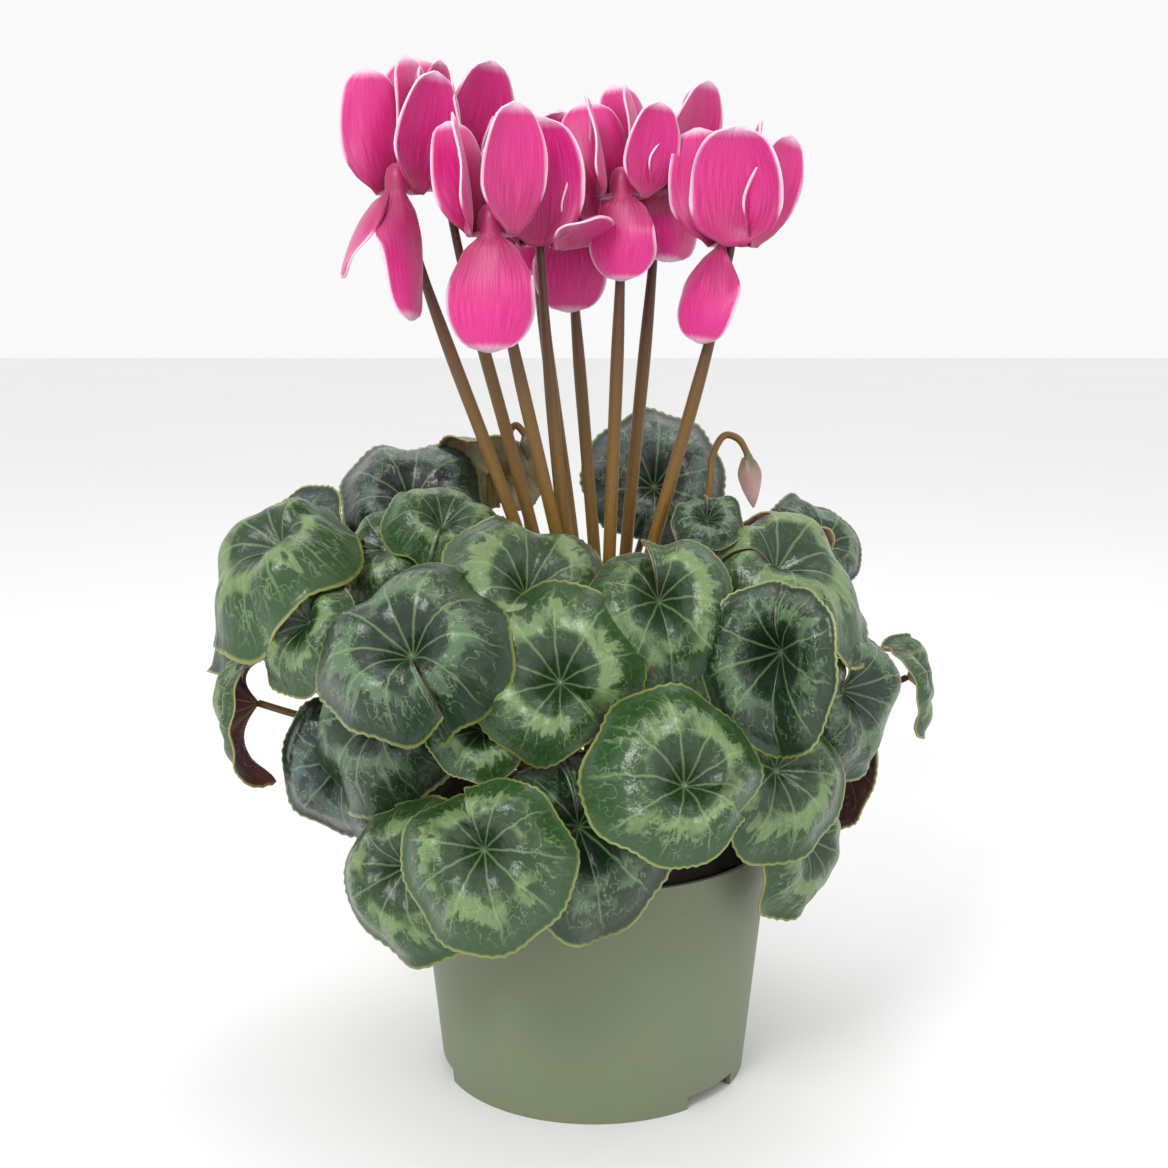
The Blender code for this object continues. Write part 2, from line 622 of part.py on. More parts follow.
def add_flowers(collection, stalk_material, petal_material):
    table = {name: tuple(flower[0]) for name, flower in FLOWERS.items()}
    table.update({name: bud["route"][-1] for name, bud in BUDS.items()})
    seats = ring_places(table, INNER_RING)
    for name, flower in FLOWERS.items():
        route = stalk_route(Vector(flower[0]), seats[name])
        count = len(route)
        radii = [STALK_RADIUS * (0.85 if i < 2 else 1.0) * (0.7 if i > 5 else 1.0) for i in range(count)]
        tube(name + "_stalk", route, radii, collection, stalk_material)
        corolla(name + "_petals", flower, collection, petal_material)
    for name, bud in BUDS.items():
        route, radii = bud_route(bud, seats[name])
        tube(name, route, radii, collection, stalk_material)


def bud_route(bud, base):
    """A hooked stalk that swells into a closed, pointed bud, as a route and a radius at each point."""
    points = [Vector(p) for p in bud["route"]]
    first = points[0]
    rise = Vector((0, 0, (first - base).length))
    route = cubic(base, base + rise * 0.35, first - rise * 0.3, first, 5) + points[1:]
    radii = [bud["stalk"]] * len(route)
    down = Vector(bud["heading"]).normalized()
    for share, swell in BUD_SWELL:
        route.append(points[-1] + down * bud["length"] * share)
        radii.append(bud["radius"] * swell)
    return route, radii


def main():
    start_empty()
    parts = new_collection("potted_cyclamen")
    cutters = new_collection("cutters", hidden=True)
    plastic = make_material("pot_plastic", (0.145, 0.180, 0.105), 0.55)
    peat = make_material("peat", (0.012, 0.008, 0.006), 0.95)
    skin = make_material("tuber_skin", (0.040, 0.020, 0.012), 0.85)
    green = make_material("leaf_green", (0.025, 0.085, 0.030), 0.35)
    stem = make_material("stem_brown", (0.110, 0.055, 0.015), 0.40)
    pink = make_material("petal_pink", (0.640, 0.010, 0.200), 0.50)
    pot(parts, cutters, plastic)
    soil(parts, peat)
    tuber(parts, skin)
    add_leaves(parts, green)
    add_flowers(parts, stem, pink)


main()
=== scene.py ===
"""The looks of a potted cyclamen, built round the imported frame. Metres, +Z up, front towards -Y.

The tables and shape functions repeat the frame's own, and every piece here is a finer mesh of one of its
nodes. Petals are wider than the frame's, and leaves have relief and lapped lobes that its leaves lack.
"""
import json
import math

import bmesh
import bpy
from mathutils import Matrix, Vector

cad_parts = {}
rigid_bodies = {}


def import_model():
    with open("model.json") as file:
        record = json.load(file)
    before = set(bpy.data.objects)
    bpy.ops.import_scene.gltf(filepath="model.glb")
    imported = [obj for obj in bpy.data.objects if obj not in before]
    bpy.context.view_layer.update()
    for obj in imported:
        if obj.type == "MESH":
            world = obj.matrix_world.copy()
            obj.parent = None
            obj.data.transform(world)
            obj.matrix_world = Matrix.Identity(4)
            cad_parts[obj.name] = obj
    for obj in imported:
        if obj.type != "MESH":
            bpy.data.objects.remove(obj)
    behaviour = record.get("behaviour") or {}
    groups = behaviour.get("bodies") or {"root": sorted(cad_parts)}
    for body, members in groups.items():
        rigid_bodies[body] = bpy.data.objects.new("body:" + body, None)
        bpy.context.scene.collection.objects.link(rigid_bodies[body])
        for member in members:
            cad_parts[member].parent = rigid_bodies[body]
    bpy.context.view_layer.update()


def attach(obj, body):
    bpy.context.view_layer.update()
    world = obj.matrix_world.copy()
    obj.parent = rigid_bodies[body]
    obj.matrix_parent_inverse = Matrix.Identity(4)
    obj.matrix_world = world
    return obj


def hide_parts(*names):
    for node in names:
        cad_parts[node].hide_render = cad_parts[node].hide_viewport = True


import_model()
scene = bpy.context.scene

MM = 0.001

# Camera: place in metres, downward pitch in radians, lens and sensor in camera millimetres
CAMERA_PLACE = (-0.0012, -0.5631, 0.2734)
CAMERA_PITCH = 0.1883
CAMERA_LENS = 53.94
CAMERA_SENSOR = 36.0

# Lights: name, place, size, power. All point at the middle of the plant.
PLANT_MIDDLE = (0.0, 0.0, 0.17)
LIGHTS = (
    ("key", (-0.45, -0.95, 1.0), 0.35, 8.0),
    ("fill", (0.9, -0.8, 0.6), 0.6, 1.2),
    ("top", (0.1, 0.3, 1.2), 0.6, 2.5),
)
SKY_STRENGTH = 0.95
FLOOR_SIZE = 6.0
FLOOR_TONES = ((0.86, 0.86, 0.86), (0.90, 0.90, 0.90))

# Mesh of a visible blade: rings from the petiole out, sectors round it, thickness in millimetres
FINE_RINGS = 22
FINE_SECTORS = 120
BLADE_THICKNESS = 0.55
LOBE_OVERLAP = 0.10                     # how far each back lobe passes the blade's middle line, in radians
LOBE_LIFT = 0.05                        # how far it lies above or below, as a share of the radius
MARGIN_TEETH = 54                       # rounded teeth right round the margin

# Mesh of a visible petal: rows along it, columns in each half, thickness in millimetres
PETAL_ROWS = 22
PETAL_HALF_COLUMNS = 7
PETAL_THICKNESS = 0.6
PETAL_FULLNESS = 1.22                   # width as a multiple of the frame's
HANGING_LEAN = 120.0                    # petals that lean further than this hang, and have a wider foot

# Part of a bud, from its middle and as a share of its length, that has the bud's own skin
BUD_SKIN_REACH = 0.56

# Which leaves are not of the bright kind above, or not olive beneath. The dark and grey kinds hold painted
# shade as well as their own tone, and the grey kind a painted sheen.
GREY_SHEEN_AND_SHADE_LEAVES = ("leaf_left_droop", "leaf_back_left", "leaf_back_point", "leaf_back_centre")
DARK_AND_SHADED_LEAVES = (
    "leaf_front_right", "leaf_right_glossy", "leaf_mid_shadow", "leaf_far_under",
    "leaf_dark_back", "leaf_rim_shadow", "leaf_left_big", "leaf_left_under",
    "leaf_right_fold", "leaf_rear_left", "leaf_rear_mid_right", "leaf_cup_high",
)
PINK_LEAVES = ("leaf_left_big", "leaf_left_under", "leaf_heart", "leaf_pink_back", "leaf_far_right")
MAROON_LEAVES = ("leaf_left_fold", "leaf_red_hang", "leaf_right_tail")

# Upper side: round the petiole, towards the margin, and the silver ring
TOP_COLOURS = {
    "leaf_bright": ((0.003, 0.020, 0.003), (0.014, 0.058, 0.010), (0.15, 0.23, 0.085)),
    # leaf_dark: the bright kind at about half its brightness, silver ring too: partly the leaves' own darker
    # green, partly painted shade on leaves that lie in shadow
    "leaf_dark": ((0.001, 0.010, 0.003), (0.005, 0.027, 0.008), (0.085, 0.15, 0.075)),
    # leaf_grey: darker and bluer than the bright kind: partly the leaves' own grey-green, partly painted
    # shade and a painted bluish sheen
    "leaf_grey": ((0.003, 0.011, 0.009), (0.008, 0.023, 0.018), (0.065, 0.10, 0.085)),
}
TOP_VEINS = (0.22, 0.36, 0.15)
TOP_MARGIN = (0.30, 0.34, 0.09)

# Underside: its pale ground and the flush in it
UNDER_COLOURS = {
    "leaf_pink_beneath": ((0.34, 0.20, 0.16), (0.24, 0.045, 0.085)),
    "leaf_olive_beneath": ((0.30, 0.30, 0.14), (0.22, 0.13, 0.08)),
    "leaf_maroon_beneath": ((0.12, 0.03, 0.035), (0.075, 0.014, 0.022)),
}
UNDER_VEINS = (0.35, 0.28, 0.16)
UNDER_MARGIN = (0.34, 0.32, 0.10)

# Petals
PETAL_THROAT = (0.24, 0.0, 0.035)
PETAL_PINK = (0.55, 0.002, 0.17)
PETAL_STREAK = (0.70, 0.035, 0.27)
PETAL_EDGE = (0.86, 0.62, 0.76)

# Colours that change with height, from the lower to the upper
PETIOLE_COLOURS = ((0.16, 0.07, 0.02), (0.11, 0.10, 0.02))
STALK_COLOURS = ((0.20, 0.105, 0.012), (0.060, 0.014, 0.010))
BUD_COLOURS = ((0.72, 0.42, 0.42), (0.11, 0.10, 0.04))
# The pot's plastic low down, and the same plastic darker towards the rim: painted shade under the leaves that
# hang over it.
POT_PLASTIC_AND_RIM_SHADE = ((0.165, 0.200, 0.118), (0.140, 0.172, 0.100))
PEAT_COLOURS = ((0.010, 0.006, 0.004), (0.020, 0.011, 0.007))
TUBER_COLOURS = ((0.05, 0.022, 0.012), (0.08, 0.035, 0.018))

# Where the pot's axis stands, so that the whole plant is centred over the origin.
POT_X = 2.0
POT_Y = 3.5

# Pot
POT_BASE_RADIUS = 51.4
POT_STEP_RADIUS = 58.7
POT_STEP_HEIGHT = 71.3
POT_RIM_RADIUS = 60.0
POT_HEIGHT = 81.0
POT_WALL = 1.4
POT_SKIRT_HEIGHT = 5.0
POT_SEGMENTS = 160
NOTCH_ANGLES = (49.0, 169.0, -78.0)     # from the front, towards +X
NOTCH_HALF_WIDTH = 13.0                 # degrees
NOTCH_REACH = 6.0                       # how far its cutter passes the wall, in and out
NOTCH_START = -2.0                      # and how far it starts below the ground
NOTCH_ROOF = 0.6                        # what is left of the skirt above it
RIM_OVERHANG = 0.5                      # how far the rim's band stands out from the wall, and its bevel
RIM_BEVEL = 0.4
DRAIN_HOLES = 6
DRAIN_RING_RADIUS = 30.0
DRAIN_RADIUS = 5.0
DRAIN_SIDES = 10
DRAIN_DEPTH = 6.0

# Peat
SOIL_GAP = 0.4
SOIL_BOTTOM = 8.0
SOIL_TOP = 92.0
SOIL_RIM_GAP = 0.6                      # more room at the rim, and the height of its edge above it
SOCKET_LIP = 1.5                        # the tuber's socket: its lip, its narrowing and its floor
SOCKET_TAPER = 0.88
SOCKET_DROP = 2.4
SOCKET_DISH = 3.0
SOIL_SECTORS = 28
HEAP_ANGLE = 196.0                      # the heap that leans over the rim, to the left
HEAP_SPREAD = 38.0
HEAP_RISE = 17.0
HEAP_REACH = 9.0

# Rings of the peat above the rim: share of the radius, share of the rise, share of the reach
SOIL_RINGS = (
    (1.0, 0.0, 0.0), (0.97, 0.18, 0.9), (0.94, 0.5, 1.0), (0.78, 0.85, 0.75), (0.6, 1.0, 0.45),
)

# Tuber, half sunk in the peat
TUBER_RADIUS = 25.0
TUBER_HEIGHT = 16.0
TUBER_CENTRE_Z = 93.0
TUBER_UPPER_SHARE = 0.75                # height of its upper half as a share of the lower half's
SEAT_GAP = 0.3

# Stems
PETIOLE_RADIUS = 1.35
STALK_RADIUS = 2.1
STEM_SIDES = 6

# Flower
TUBE_RADIUS = 4.0
TUBE_LENGTH = 8.0
TUBE_LEVELS = ((0.45, 0.96), (0.8, 0.8), (0.98, 0.45), (1.0, 0.0))   # shares of radius and length
STALK_SEAT_DEPTH = 2.1                  # from the tube's closed end down to the stalk's end
PETAL_WIDEST = 0.58                     # share of a petal's length at which it is widest
PETAL_TIP_SPAN = 0.44                   # from there to where its tip would close
PETAL_NECK = 0.28                       # width at its root, as a share of the widest
PETAL_TIP_ROUNDING = 0.93               # share of the length from which a visible tip is rounded off

# Bearings of the five petals' roots round the mouth, and of the joins between them
SEATS = (-90.0, -24.0, 40.0, 140.0, 204.0)
SEAT_EDGES = (-123.0, -57.0, 8.0, 90.0, 172.0)

# Each leaf: where the petiole meets the blade (x, y, z from the pot's axis), blade radius,
# the bearing that its upper side leans to (0 = +X, -90 = front), how far it leans from level,
# the turn of its tip from straight downhill, and its shape: cup, fold along the midrib,
# curl of the margin, waves, and lap, which lifts one back lobe over the other. The last two
# are the petiole's seat on the tuber: its distance from the axis and its bearing.
LEAVES = {
    "leaf_front":         ( -31, -100,  109,  29,   -96,  66,    15, 0.26, 0.12, 0.32, 0.08, 0.18, 21,   -70),
    "leaf_front_left":    ( -55,  -72,   94,  30,  -115,  77,    20, 0.18, 0.10, 0.35, 0.09, 0.05, 18,   -91),
    "leaf_front_right":   (  -5,  -77,  108,  34,   -82,  72,    12, 0.26, 0.38, 0.30, 0.06, 0.08, 18,   -38),
    "leaf_spiral":        (  25,  -90,  124,  30,   -78,  61,  -135, 0.40, 0.00, 0.25, 0.07, 0.26, 18,   -15),
    "leaf_under_spiral":  (  55,  -51,  117,  28,   -69,  68,     5, 0.16, 0.12, 0.22, 0.07, 0.00, 18,     9),
    "leaf_right_tail":    (  66,  -34,   90,  27,   -38,  88,   -15, 0.05, 0.15, 0.10, 0.04, 0.00, 21,    50),
    "leaf_rim_shadow":    (  24,   13,   79,  22,  -139,  40,     0, 0.10, 0.00, 0.20, 0.05, 0.00, 21,    11),
    "leaf_cup_small":     ( -33,  -67,  134,  17,   -92,  58,   -25, 0.45, 0.00, 0.05, 0.08, 0.10, 18,   -73),
    "leaf_centre":        ( -10,  -69,  149,  32,   -92,  68,  -140, 0.40, 0.14, 0.35, 0.08, 0.18, 15,   -57),
    "leaf_mid_shadow":    (  21,  -49,  151,  23,   -94,  60,    20, 0.20, 0.10, 0.28, 0.07, 0.00, 15,   -19),
    "leaf_upper_mid":     ( -21,  -45,  170,  32,   -76,  50,   175, 0.26, 0.18, 0.38, 0.09, 0.10, 15,   -81),
    "leaf_heart":         (  19,  -53,  170,  30,   -88,  62,    10, 0.22, 0.34, 0.42, 0.08, 0.15, 15,   -38),
    "leaf_cup_high":      (  36,  -14,  188,  13,   -90,  42,     0, 0.45, 0.00, 0.05, 0.08, 0.10, 15,    38),
    "leaf_left_big":      ( -52,  -77,  158,  35,  -104,  52,  -150, 0.34, 0.12, 0.50, 0.08, 0.12, 18,  -118),
    "leaf_left_under":    ( -63,  -45,  132,  32,  -115,  61,   -40, 0.20, 0.15, 0.45, 0.07, 0.00, 21,  -130),
    "leaf_left_droop":    ( -78,  -26,  115,  30,  -104,  86,    -5, 0.08, 0.28, 0.25, 0.08, 0.00, 18,  -145),
    "leaf_left_fold":     (-111,   -4,  126,  27,  -165,  84,     0, 0.05, 0.55, 0.10, 0.04, 0.00, 21,  -170),
    "leaf_left_rim":      ( -88,  -32,  159,  24,  -122,  66,   -20, 0.14, 0.30, 0.22, 0.07, 0.00, 15,  -102),
    "leaf_far_left":      ( -99,  -16,  179,  35,  -133,  38,   -25, 0.10, 0.22, 0.45, 0.09, 0.00, 15,  -119),
    "leaf_far_under":     (-111,   29,  145,  28,  -163,  33,   -20, 0.10, 0.20, 0.15, 0.05, 0.00, 15,  -171),
    "leaf_back_point":    ( -97,   11,  174,  23,  -112,  76,   170, 0.05, 0.35, 0.10, 0.04, 0.00, 15,   171),
    "leaf_back_left":     ( -63,   31,  187,  30,   -85,  53,   170, 0.22, 0.12, 0.35, 0.08, 0.05, 15,   156),
    "leaf_curl_left":     ( -67,   -4,  177,  25,  -118,  42,   -60, 0.05, 0.20, 0.35, 0.07, 0.00, 15,  -152),
    "leaf_curl_mid":      ( -49,   -9,  185,  24,   -72,  39,   150, 0.15, 0.20, 0.35, 0.07, 0.00, 15,  -133),
    "leaf_pale_back":     ( -37,   61,  194,  24,    78,  53,   180, 0.10, 0.00, 0.15, 0.05, 0.00, 15,   114),
    "leaf_back_centre":   (  22,   60,  189,  31,   -88,  68,   175, 0.24, 0.14, 0.30, 0.07, 0.10, 15,    95),
    "leaf_right_big":     (  57,  -23,  173,  36,   -65,  33,    55, 0.10, 0.30, 0.45, 0.09, 0.00, 15,    19),
    "leaf_pink_back":     (  62,   17,  175,  21,    85,  52,   180, 0.10, 0.00, 0.20, 0.05, 0.00, 15,    59),
    "leaf_dark_back":     (  79,   37,  171,  22,   -60,  56,   170, 0.10, 0.00, 0.15, 0.05, 0.00, 21,    76),
    "leaf_right_glossy":  (  78,  -22,  135,  29,   -49,  75,    25, 0.34, 0.10, 0.28, 0.07, 0.05, 18,    62),
    "leaf_right_fold":    (  56,  -57,  156,  32,  -112,  80,     0, 0.10, 0.60, 0.15, 0.05, 0.00, 15,    -2),
    "leaf_red_hang":      (  84,   24,   99,  28,    32, 104,     0, 0.05, 0.25, 0.15, 0.04, 0.00, 18,    74),
    "leaf_far_right":     ( 117,   68,  117,  24,   -15,  70,    10, 0.05, 0.35, 0.15, 0.05, 0.00, 21,    64),
    "leaf_rear_left":     ( -74,   47,  147,  34,   150,  56,     0, 0.15, 0.05, 0.25, 0.06, 0.05, 15,   133),
    "leaf_rear_mid_left": ( -34,   74,  140,  35,   115,  60,     0, 0.15, 0.05, 0.25, 0.06, 0.10, 21,   170),
    "leaf_rear_mid_right":(  18,   87,  133,  35,    84,  62,     0, 0.15, 0.05, 0.25, 0.06, 0.10, 21,   150),
    "leaf_rear_right":    (  62,   74,  140,  34,    45,  69,     0, 0.15, 0.05, 0.25, 0.06, 0.05, 21,   121),
}

# Ring on the tuber that the flower stalks grow from.
INNER_RING = 8.5

# Each flower: nose (x, y, z), and its petals as
# (bearing, lean from upright, turn about its length, length, width).
FLOWERS = {
    "flower_1": ((-61, -8, 292), (
        (-62, 161, 27, 42, 15), (-20, 10, 30, 44, 18), (35, 2, 36, 46, 14),
        (145, 8, 30, 46, 18), (165, 150, 22, 31, 19))),
    "flower_2": ((-48, 14, 294), (
        (-90, 8, 59, 47, 21), (-24, 14, 24, 48, 21), (55, 16, 30, 46, 20),
        (135, 10, 30, 50, 22), (200, 7, 42, 49, 20))),
    "flower_3": ((-31, -30, 279), (
        (-92, 170, -6, 36, 22), (-45, 2, 10, 46, 18), (15, 10, 48, 42, 15),
        (150, 14, 18, 42, 18), (215, 8, 30, 43, 17))),
    "flower_4": ((-22, 46, 292), (
        (-93, 164, 6, 28, 19), (-20, 12, 54, 36, 19), (45, 12, 24, 38, 18),
        (135, 12, 24, 39, 20), (195, 16, 36, 38, 18))),
    "flower_5": ((-17, -10, 276), (
        (-84, 2, 4, 46, 23), (-22, 60, 10, 24, 18), (30, 4, 24, 42, 19),
        (140, 10, 30, 42, 20), (196, 14, 54, 40, 12))),
    "flower_6": ((-8, 26, 283), (
        (-85, 170, 0, 30, 20), (-30, 10, 30, 38, 18), (50, 16, 30, 38, 18),
        (135, 12, 30, 38, 20), (200, 14, 30, 38, 18))),
    "flower_7": ((9, -5, 291), (
        (-93, 174, -20, 27, 18), (-30, 10, 32, 36, 15), (40, 24, 42, 36, 19),
        (125, 18, 24, 38, 19), (204, 10, 20, 38, 18))),
    "flower_8": ((21, 16, 294), (
        (-70, 158, 10, 26, 22), (-24, 16, 20, 42, 18), (40, 12, 36, 40, 19),
        (150, 16, 24, 42, 18), (204, 8, 30, 40, 18))),
    "flower_9": ((43, -10, 276), (
        (-88, 7, 20, 43, 24), (-3, 18, 48, 42, 17), (25, 6, 36, 46, 19),
        (140, 10, 30, 44, 20), (215, 166, 20, 32, 17))),
}

# How a bud swells along its length, as shares of its length and radius.
BUD_SWELL = ((0.12, 0.62), (0.35, 1.0), (0.6, 0.82), (0.85, 0.42), (1.0, 0.08))

# Buds: stalk route from the tuber's ring to the bud, bud length and radius.
BUDS = {
    "bud_right": {
        "route": ((38, 6, 196), (39, 9, 206), (43, 12, 213), (48, 12, 212), (51, 12, 207)),
        "heading": (2, 0, -15), "stalk": 1.2, "length": 18.0, "radius": 4.0,
    },
    "bud_left": {
        "route": ((-24, 16, 198), (-28, 17, 212), (-26, 18, 216), (-23, 18, 213)),
        "heading": (1, 0, -8), "stalk": 1.2, "length": 9.0, "radius": 2.2,
    },
}


def smooth(t):
    t = min(max(t, 0.0), 1.0)
    return t * t * (3.0 - 2.0 * t)


def polar(radius, degrees, z=0.0):
    a = math.radians(degrees)
    return Vector((radius * math.cos(a), radius * math.sin(a), z))


def new_collection(name, hidden=False):
    collection = bpy.data.collections.new(name)
    collection.hide_render = hidden
    bpy.context.scene.collection.children.link(collection)
    return collection


def add_object(name, data, collection, material=None):
    obj = bpy.data.objects.new(name, data)
    collection.objects.link(obj)
    obj.location = (POT_X * MM, POT_Y * MM, 0.0)
    if material:
        data.materials.append(material)
    return obj


def mesh_from(name, points, faces):
    """A mesh from points in millimetres."""
    mesh = bpy.data.meshes.new(name)
    mesh.from_pydata([Vector(p) * MM for p in points], [], faces)
    mesh.validate()
    mesh.update()
    return mesh


def face_outwards(mesh):
    work = bmesh.new()
    work.from_mesh(mesh)
    bmesh.ops.recalc_face_normals(work, faces=work.faces)
    work.to_mesh(mesh)
    work.free()


def bake(obj):
    """The object's evaluated mesh, in place of its modifiers or curve."""
    bpy.context.view_layer.update()
    evaluated = obj.evaluated_get(bpy.context.evaluated_depsgraph_get())
    mesh = bpy.data.meshes.new_from_object(evaluated)
    work = bmesh.new()
    work.from_mesh(mesh)
    bmesh.ops.remove_doubles(work, verts=work.verts, dist=1e-6)
    work.to_mesh(mesh)
    work.free()
    return mesh


def tube(name, points, radii, collection, material, sides=STEM_SIDES):
    """A closed tube through the points, with a radius at each."""
    curve = bpy.data.curves.new(name, "CURVE")
    curve.dimensions = "3D"
    curve.bevel_depth = MM
    curve.bevel_resolution = sides // 2 - 2
    curve.use_fill_caps = True
    spline = curve.splines.new("POLY")
    spline.points.add(len(points) - 1)
    for place, point, radius in zip(spline.points, points, radii):
        place.co = (*(Vector(point) * MM), 1.0)
        place.radius = radius
    guide = add_object(name + "_route", curve, collection)
    mesh = bake(guide)
    bpy.data.objects.remove(guide, do_unlink=True)
    mesh.materials.clear()
    mesh.name = name
    face_outwards(mesh)
    obj = add_object(name, mesh, collection, material)
    mesh.shade_smooth()
    return obj


def cubic(a, b, c, d, count):
    """Points of a cubic Bezier, ends included."""
    points = []
    for i in range(count):
        t = i / (count - 1)
        s = 1.0 - t
        points.append(a * s**3 + b * (3 * s * s * t) + c * (3 * s * t * t) + d * t**3)
    return points


def cut(obj, cutters):
    for cutter in cutters:
        modifier = obj.modifiers.new("cut_" + cutter.name, "BOOLEAN")
        modifier.operation = "DIFFERENCE"
        modifier.object = cutter


def cutter_from(name, work, collection):
    mesh = bpy.data.meshes.new(name)
    work.to_mesh(mesh)
    work.free()
    obj = add_object(name, mesh, collection)
    obj.hide_render = True
    obj.display_type = "WIRE"
    return obj


def notch_cutter(index, bearing, collection):
    """A wedge that opens the foot skirt between two feet."""
    inner, outer = POT_BASE_RADIUS - NOTCH_REACH, POT_BASE_RADIUS + NOTCH_REACH
    angles = (bearing - NOTCH_HALF_WIDTH, bearing, bearing + NOTCH_HALF_WIDTH)
    work = bmesh.new()
    rings = []
    for z in (NOTCH_START, POT_SKIRT_HEIGHT - NOTCH_ROOF):
        low = [polar(inner, a - 90.0, z) * MM for a in angles]
        high = [polar(outer, a - 90.0, z) * MM for a in reversed(angles)]
        rings.append([work.verts.new(p) for p in low + high])
    count = len(rings[0])
    for i in range(count):
        j = (i + 1) % count
        work.faces.new((rings[0][i], rings[0][j], rings[1][j], rings[1][i]))
    work.faces.new(list(reversed(rings[0])))
    work.faces.new(rings[1])
    bmesh.ops.recalc_face_normals(work, faces=work.faces)
    return cutter_from(f"cut_notch_{index}", work, collection)


def drain_cutter(index, collection):
    work = bmesh.new()
    bmesh.ops.create_cone(
        work, cap_ends=True, segments=DRAIN_SIDES, radius1=DRAIN_RADIUS * MM,
        radius2=DRAIN_RADIUS * MM, depth=DRAIN_DEPTH * MM,
    )
    place = polar(DRAIN_RING_RADIUS, 360.0 * index / DRAIN_HOLES, POT_SKIRT_HEIGHT + 0.5) * MM
    bmesh.ops.translate(work, verts=work.verts, vec=place)
    return cutter_from(f"cut_drain_{index}", work, collection)


def pot(collection, cutters, material):
    """A turned pot on a foot skirt that three notches open, with holes in its floor."""
    taper = (POT_STEP_RADIUS - POT_BASE_RADIUS) / POT_STEP_HEIGHT
    floor = POT_SKIRT_HEIGHT + POT_WALL
    inner_base = POT_BASE_RADIUS + taper * floor - POT_WALL
    profile = [
        (0.0, floor), (inner_base, floor),
        (POT_STEP_RADIUS - POT_WALL, POT_STEP_HEIGHT),
        (POT_RIM_RADIUS - POT_WALL, POT_HEIGHT),
        (POT_RIM_RADIUS, POT_HEIGHT),
        (POT_STEP_RADIUS + RIM_OVERHANG, POT_STEP_HEIGHT + RIM_BEVEL),
        (POT_STEP_RADIUS, POT_STEP_HEIGHT),
        (POT_BASE_RADIUS, 0.0), (POT_BASE_RADIUS - POT_WALL, 0.0),
        (POT_BASE_RADIUS - POT_WALL + taper * POT_SKIRT_HEIGHT, POT_SKIRT_HEIGHT),
        (0.0, POT_SKIRT_HEIGHT),
    ]
    mesh = bpy.data.meshes.new("pot")
    mesh.from_pydata(
        [(r * MM, 0.0, z * MM) for r, z in profile],
        [(i, i + 1) for i in range(len(profile) - 1)], [],
    )
    obj = add_object("pot", mesh, collection, material)
    screw = obj.modifiers.new("turn", "SCREW")
    screw.steps = POT_SEGMENTS
    screw.render_steps = POT_SEGMENTS
    screw.use_merge_vertices = True
    screw.merge_threshold = 1e-5
    tools = [notch_cutter(i, a, cutters) for i, a in enumerate(NOTCH_ANGLES)]
    tools += [drain_cutter(i, cutters) for i in range(DRAIN_HOLES)]
    cut(obj, tools)
    return obj


def pot_inside(z):
    """Radius of the pot's inner wall at a height."""
    taper = (POT_STEP_RADIUS - POT_BASE_RADIUS) / POT_STEP_HEIGHT
    return POT_BASE_RADIUS + taper * min(z, POT_STEP_HEIGHT) - POT_WALL


def heap_weight(bearing):
    away = (bearing - HEAP_ANGLE + 180.0) % 360.0 - 180.0
    return math.exp(-((away / HEAP_SPREAD) ** 2))


def crumble(bearing, z):
    """Uneven surface of loose peat, in millimetres."""
    a = math.radians(bearing)
    return 0.7 * math.sin(5 * a + 0.23 * z) + 0.5 * math.sin(9 * a - 0.4 * z + 1.0)


def soil_ring(share, level, reach):
    """One ring of the peat above the rim, from a row of SOIL_RINGS."""
    edge = POT_RIM_RADIUS - POT_WALL - SOIL_GAP - SOIL_RIM_GAP
    foot = POT_HEIGHT + SOIL_RIM_GAP
    ring = []
    for i in range(SOIL_SECTORS):
        bearing = 360.0 * i / SOIL_SECTORS
        heap = heap_weight(bearing)
        z = foot + (SOIL_TOP - foot + HEAP_RISE * heap) * level
        rough = crumble(bearing, z) if level > 0.0 else 0.0
        ring.append(polar(edge * share + HEAP_REACH * heap * reach + rough, bearing, z))
    return ring


def level_ring(radius, z):
    return [polar(radius, 360.0 * i / SOIL_SECTORS, z) for i in range(SOIL_SECTORS)]


def soil(collection, material):
    """Peat that fills the pot, with a socket for the tuber, heaped over the rim on one side."""
    low = TUBER_CENTRE_Z - TUBER_HEIGHT - SEAT_GAP + SOCKET_DROP
    rings = [level_ring(pot_inside(z) - SOIL_GAP, z) for z in (SOIL_BOTTOM, POT_STEP_HEIGHT)]
    rings += [soil_ring(*row) for row in SOIL_RINGS]
    rings.append(level_ring(TUBER_RADIUS + SOCKET_LIP, SOIL_TOP + 0.5))
    rings.append(level_ring(TUBER_RADIUS + SEAT_GAP, TUBER_CENTRE_Z - 1.0))
    rings.append(level_ring(TUBER_RADIUS * SOCKET_TAPER, low))
    points = [p for ring in rings for p in ring]
    faces = []
    for r in range(len(rings) - 1):
        for i in range(SOIL_SECTORS):
            j = (i + 1) % SOIL_SECTORS
            a, b = r * SOIL_SECTORS, (r + 1) * SOIL_SECTORS
            faces.append((a + i, a + j, b + j, b + i))
    bottom, top = len(points), len(points) + 1
    points += [Vector((0, 0, SOIL_BOTTOM)), Vector((0, 0, low - SOCKET_DISH))]
    last = (len(rings) - 1) * SOIL_SECTORS
    for i in range(SOIL_SECTORS):
        j = (i + 1) % SOIL_SECTORS
        faces.append((bottom, j, i))
        faces.append((top, last + i, last + j))
    mesh = mesh_from("soil", points, faces)
    face_outwards(mesh)
    return add_object("soil", mesh, collection, material)


def tuber_top(radius):
    """Height of the tuber's upper side at a distance from its axis."""
    share = min(radius / TUBER_RADIUS, 1.0)
    return TUBER_CENTRE_Z + TUBER_HEIGHT * math.sqrt(max(0.0, 1.0 - share * share)) * TUBER_UPPER_SHARE


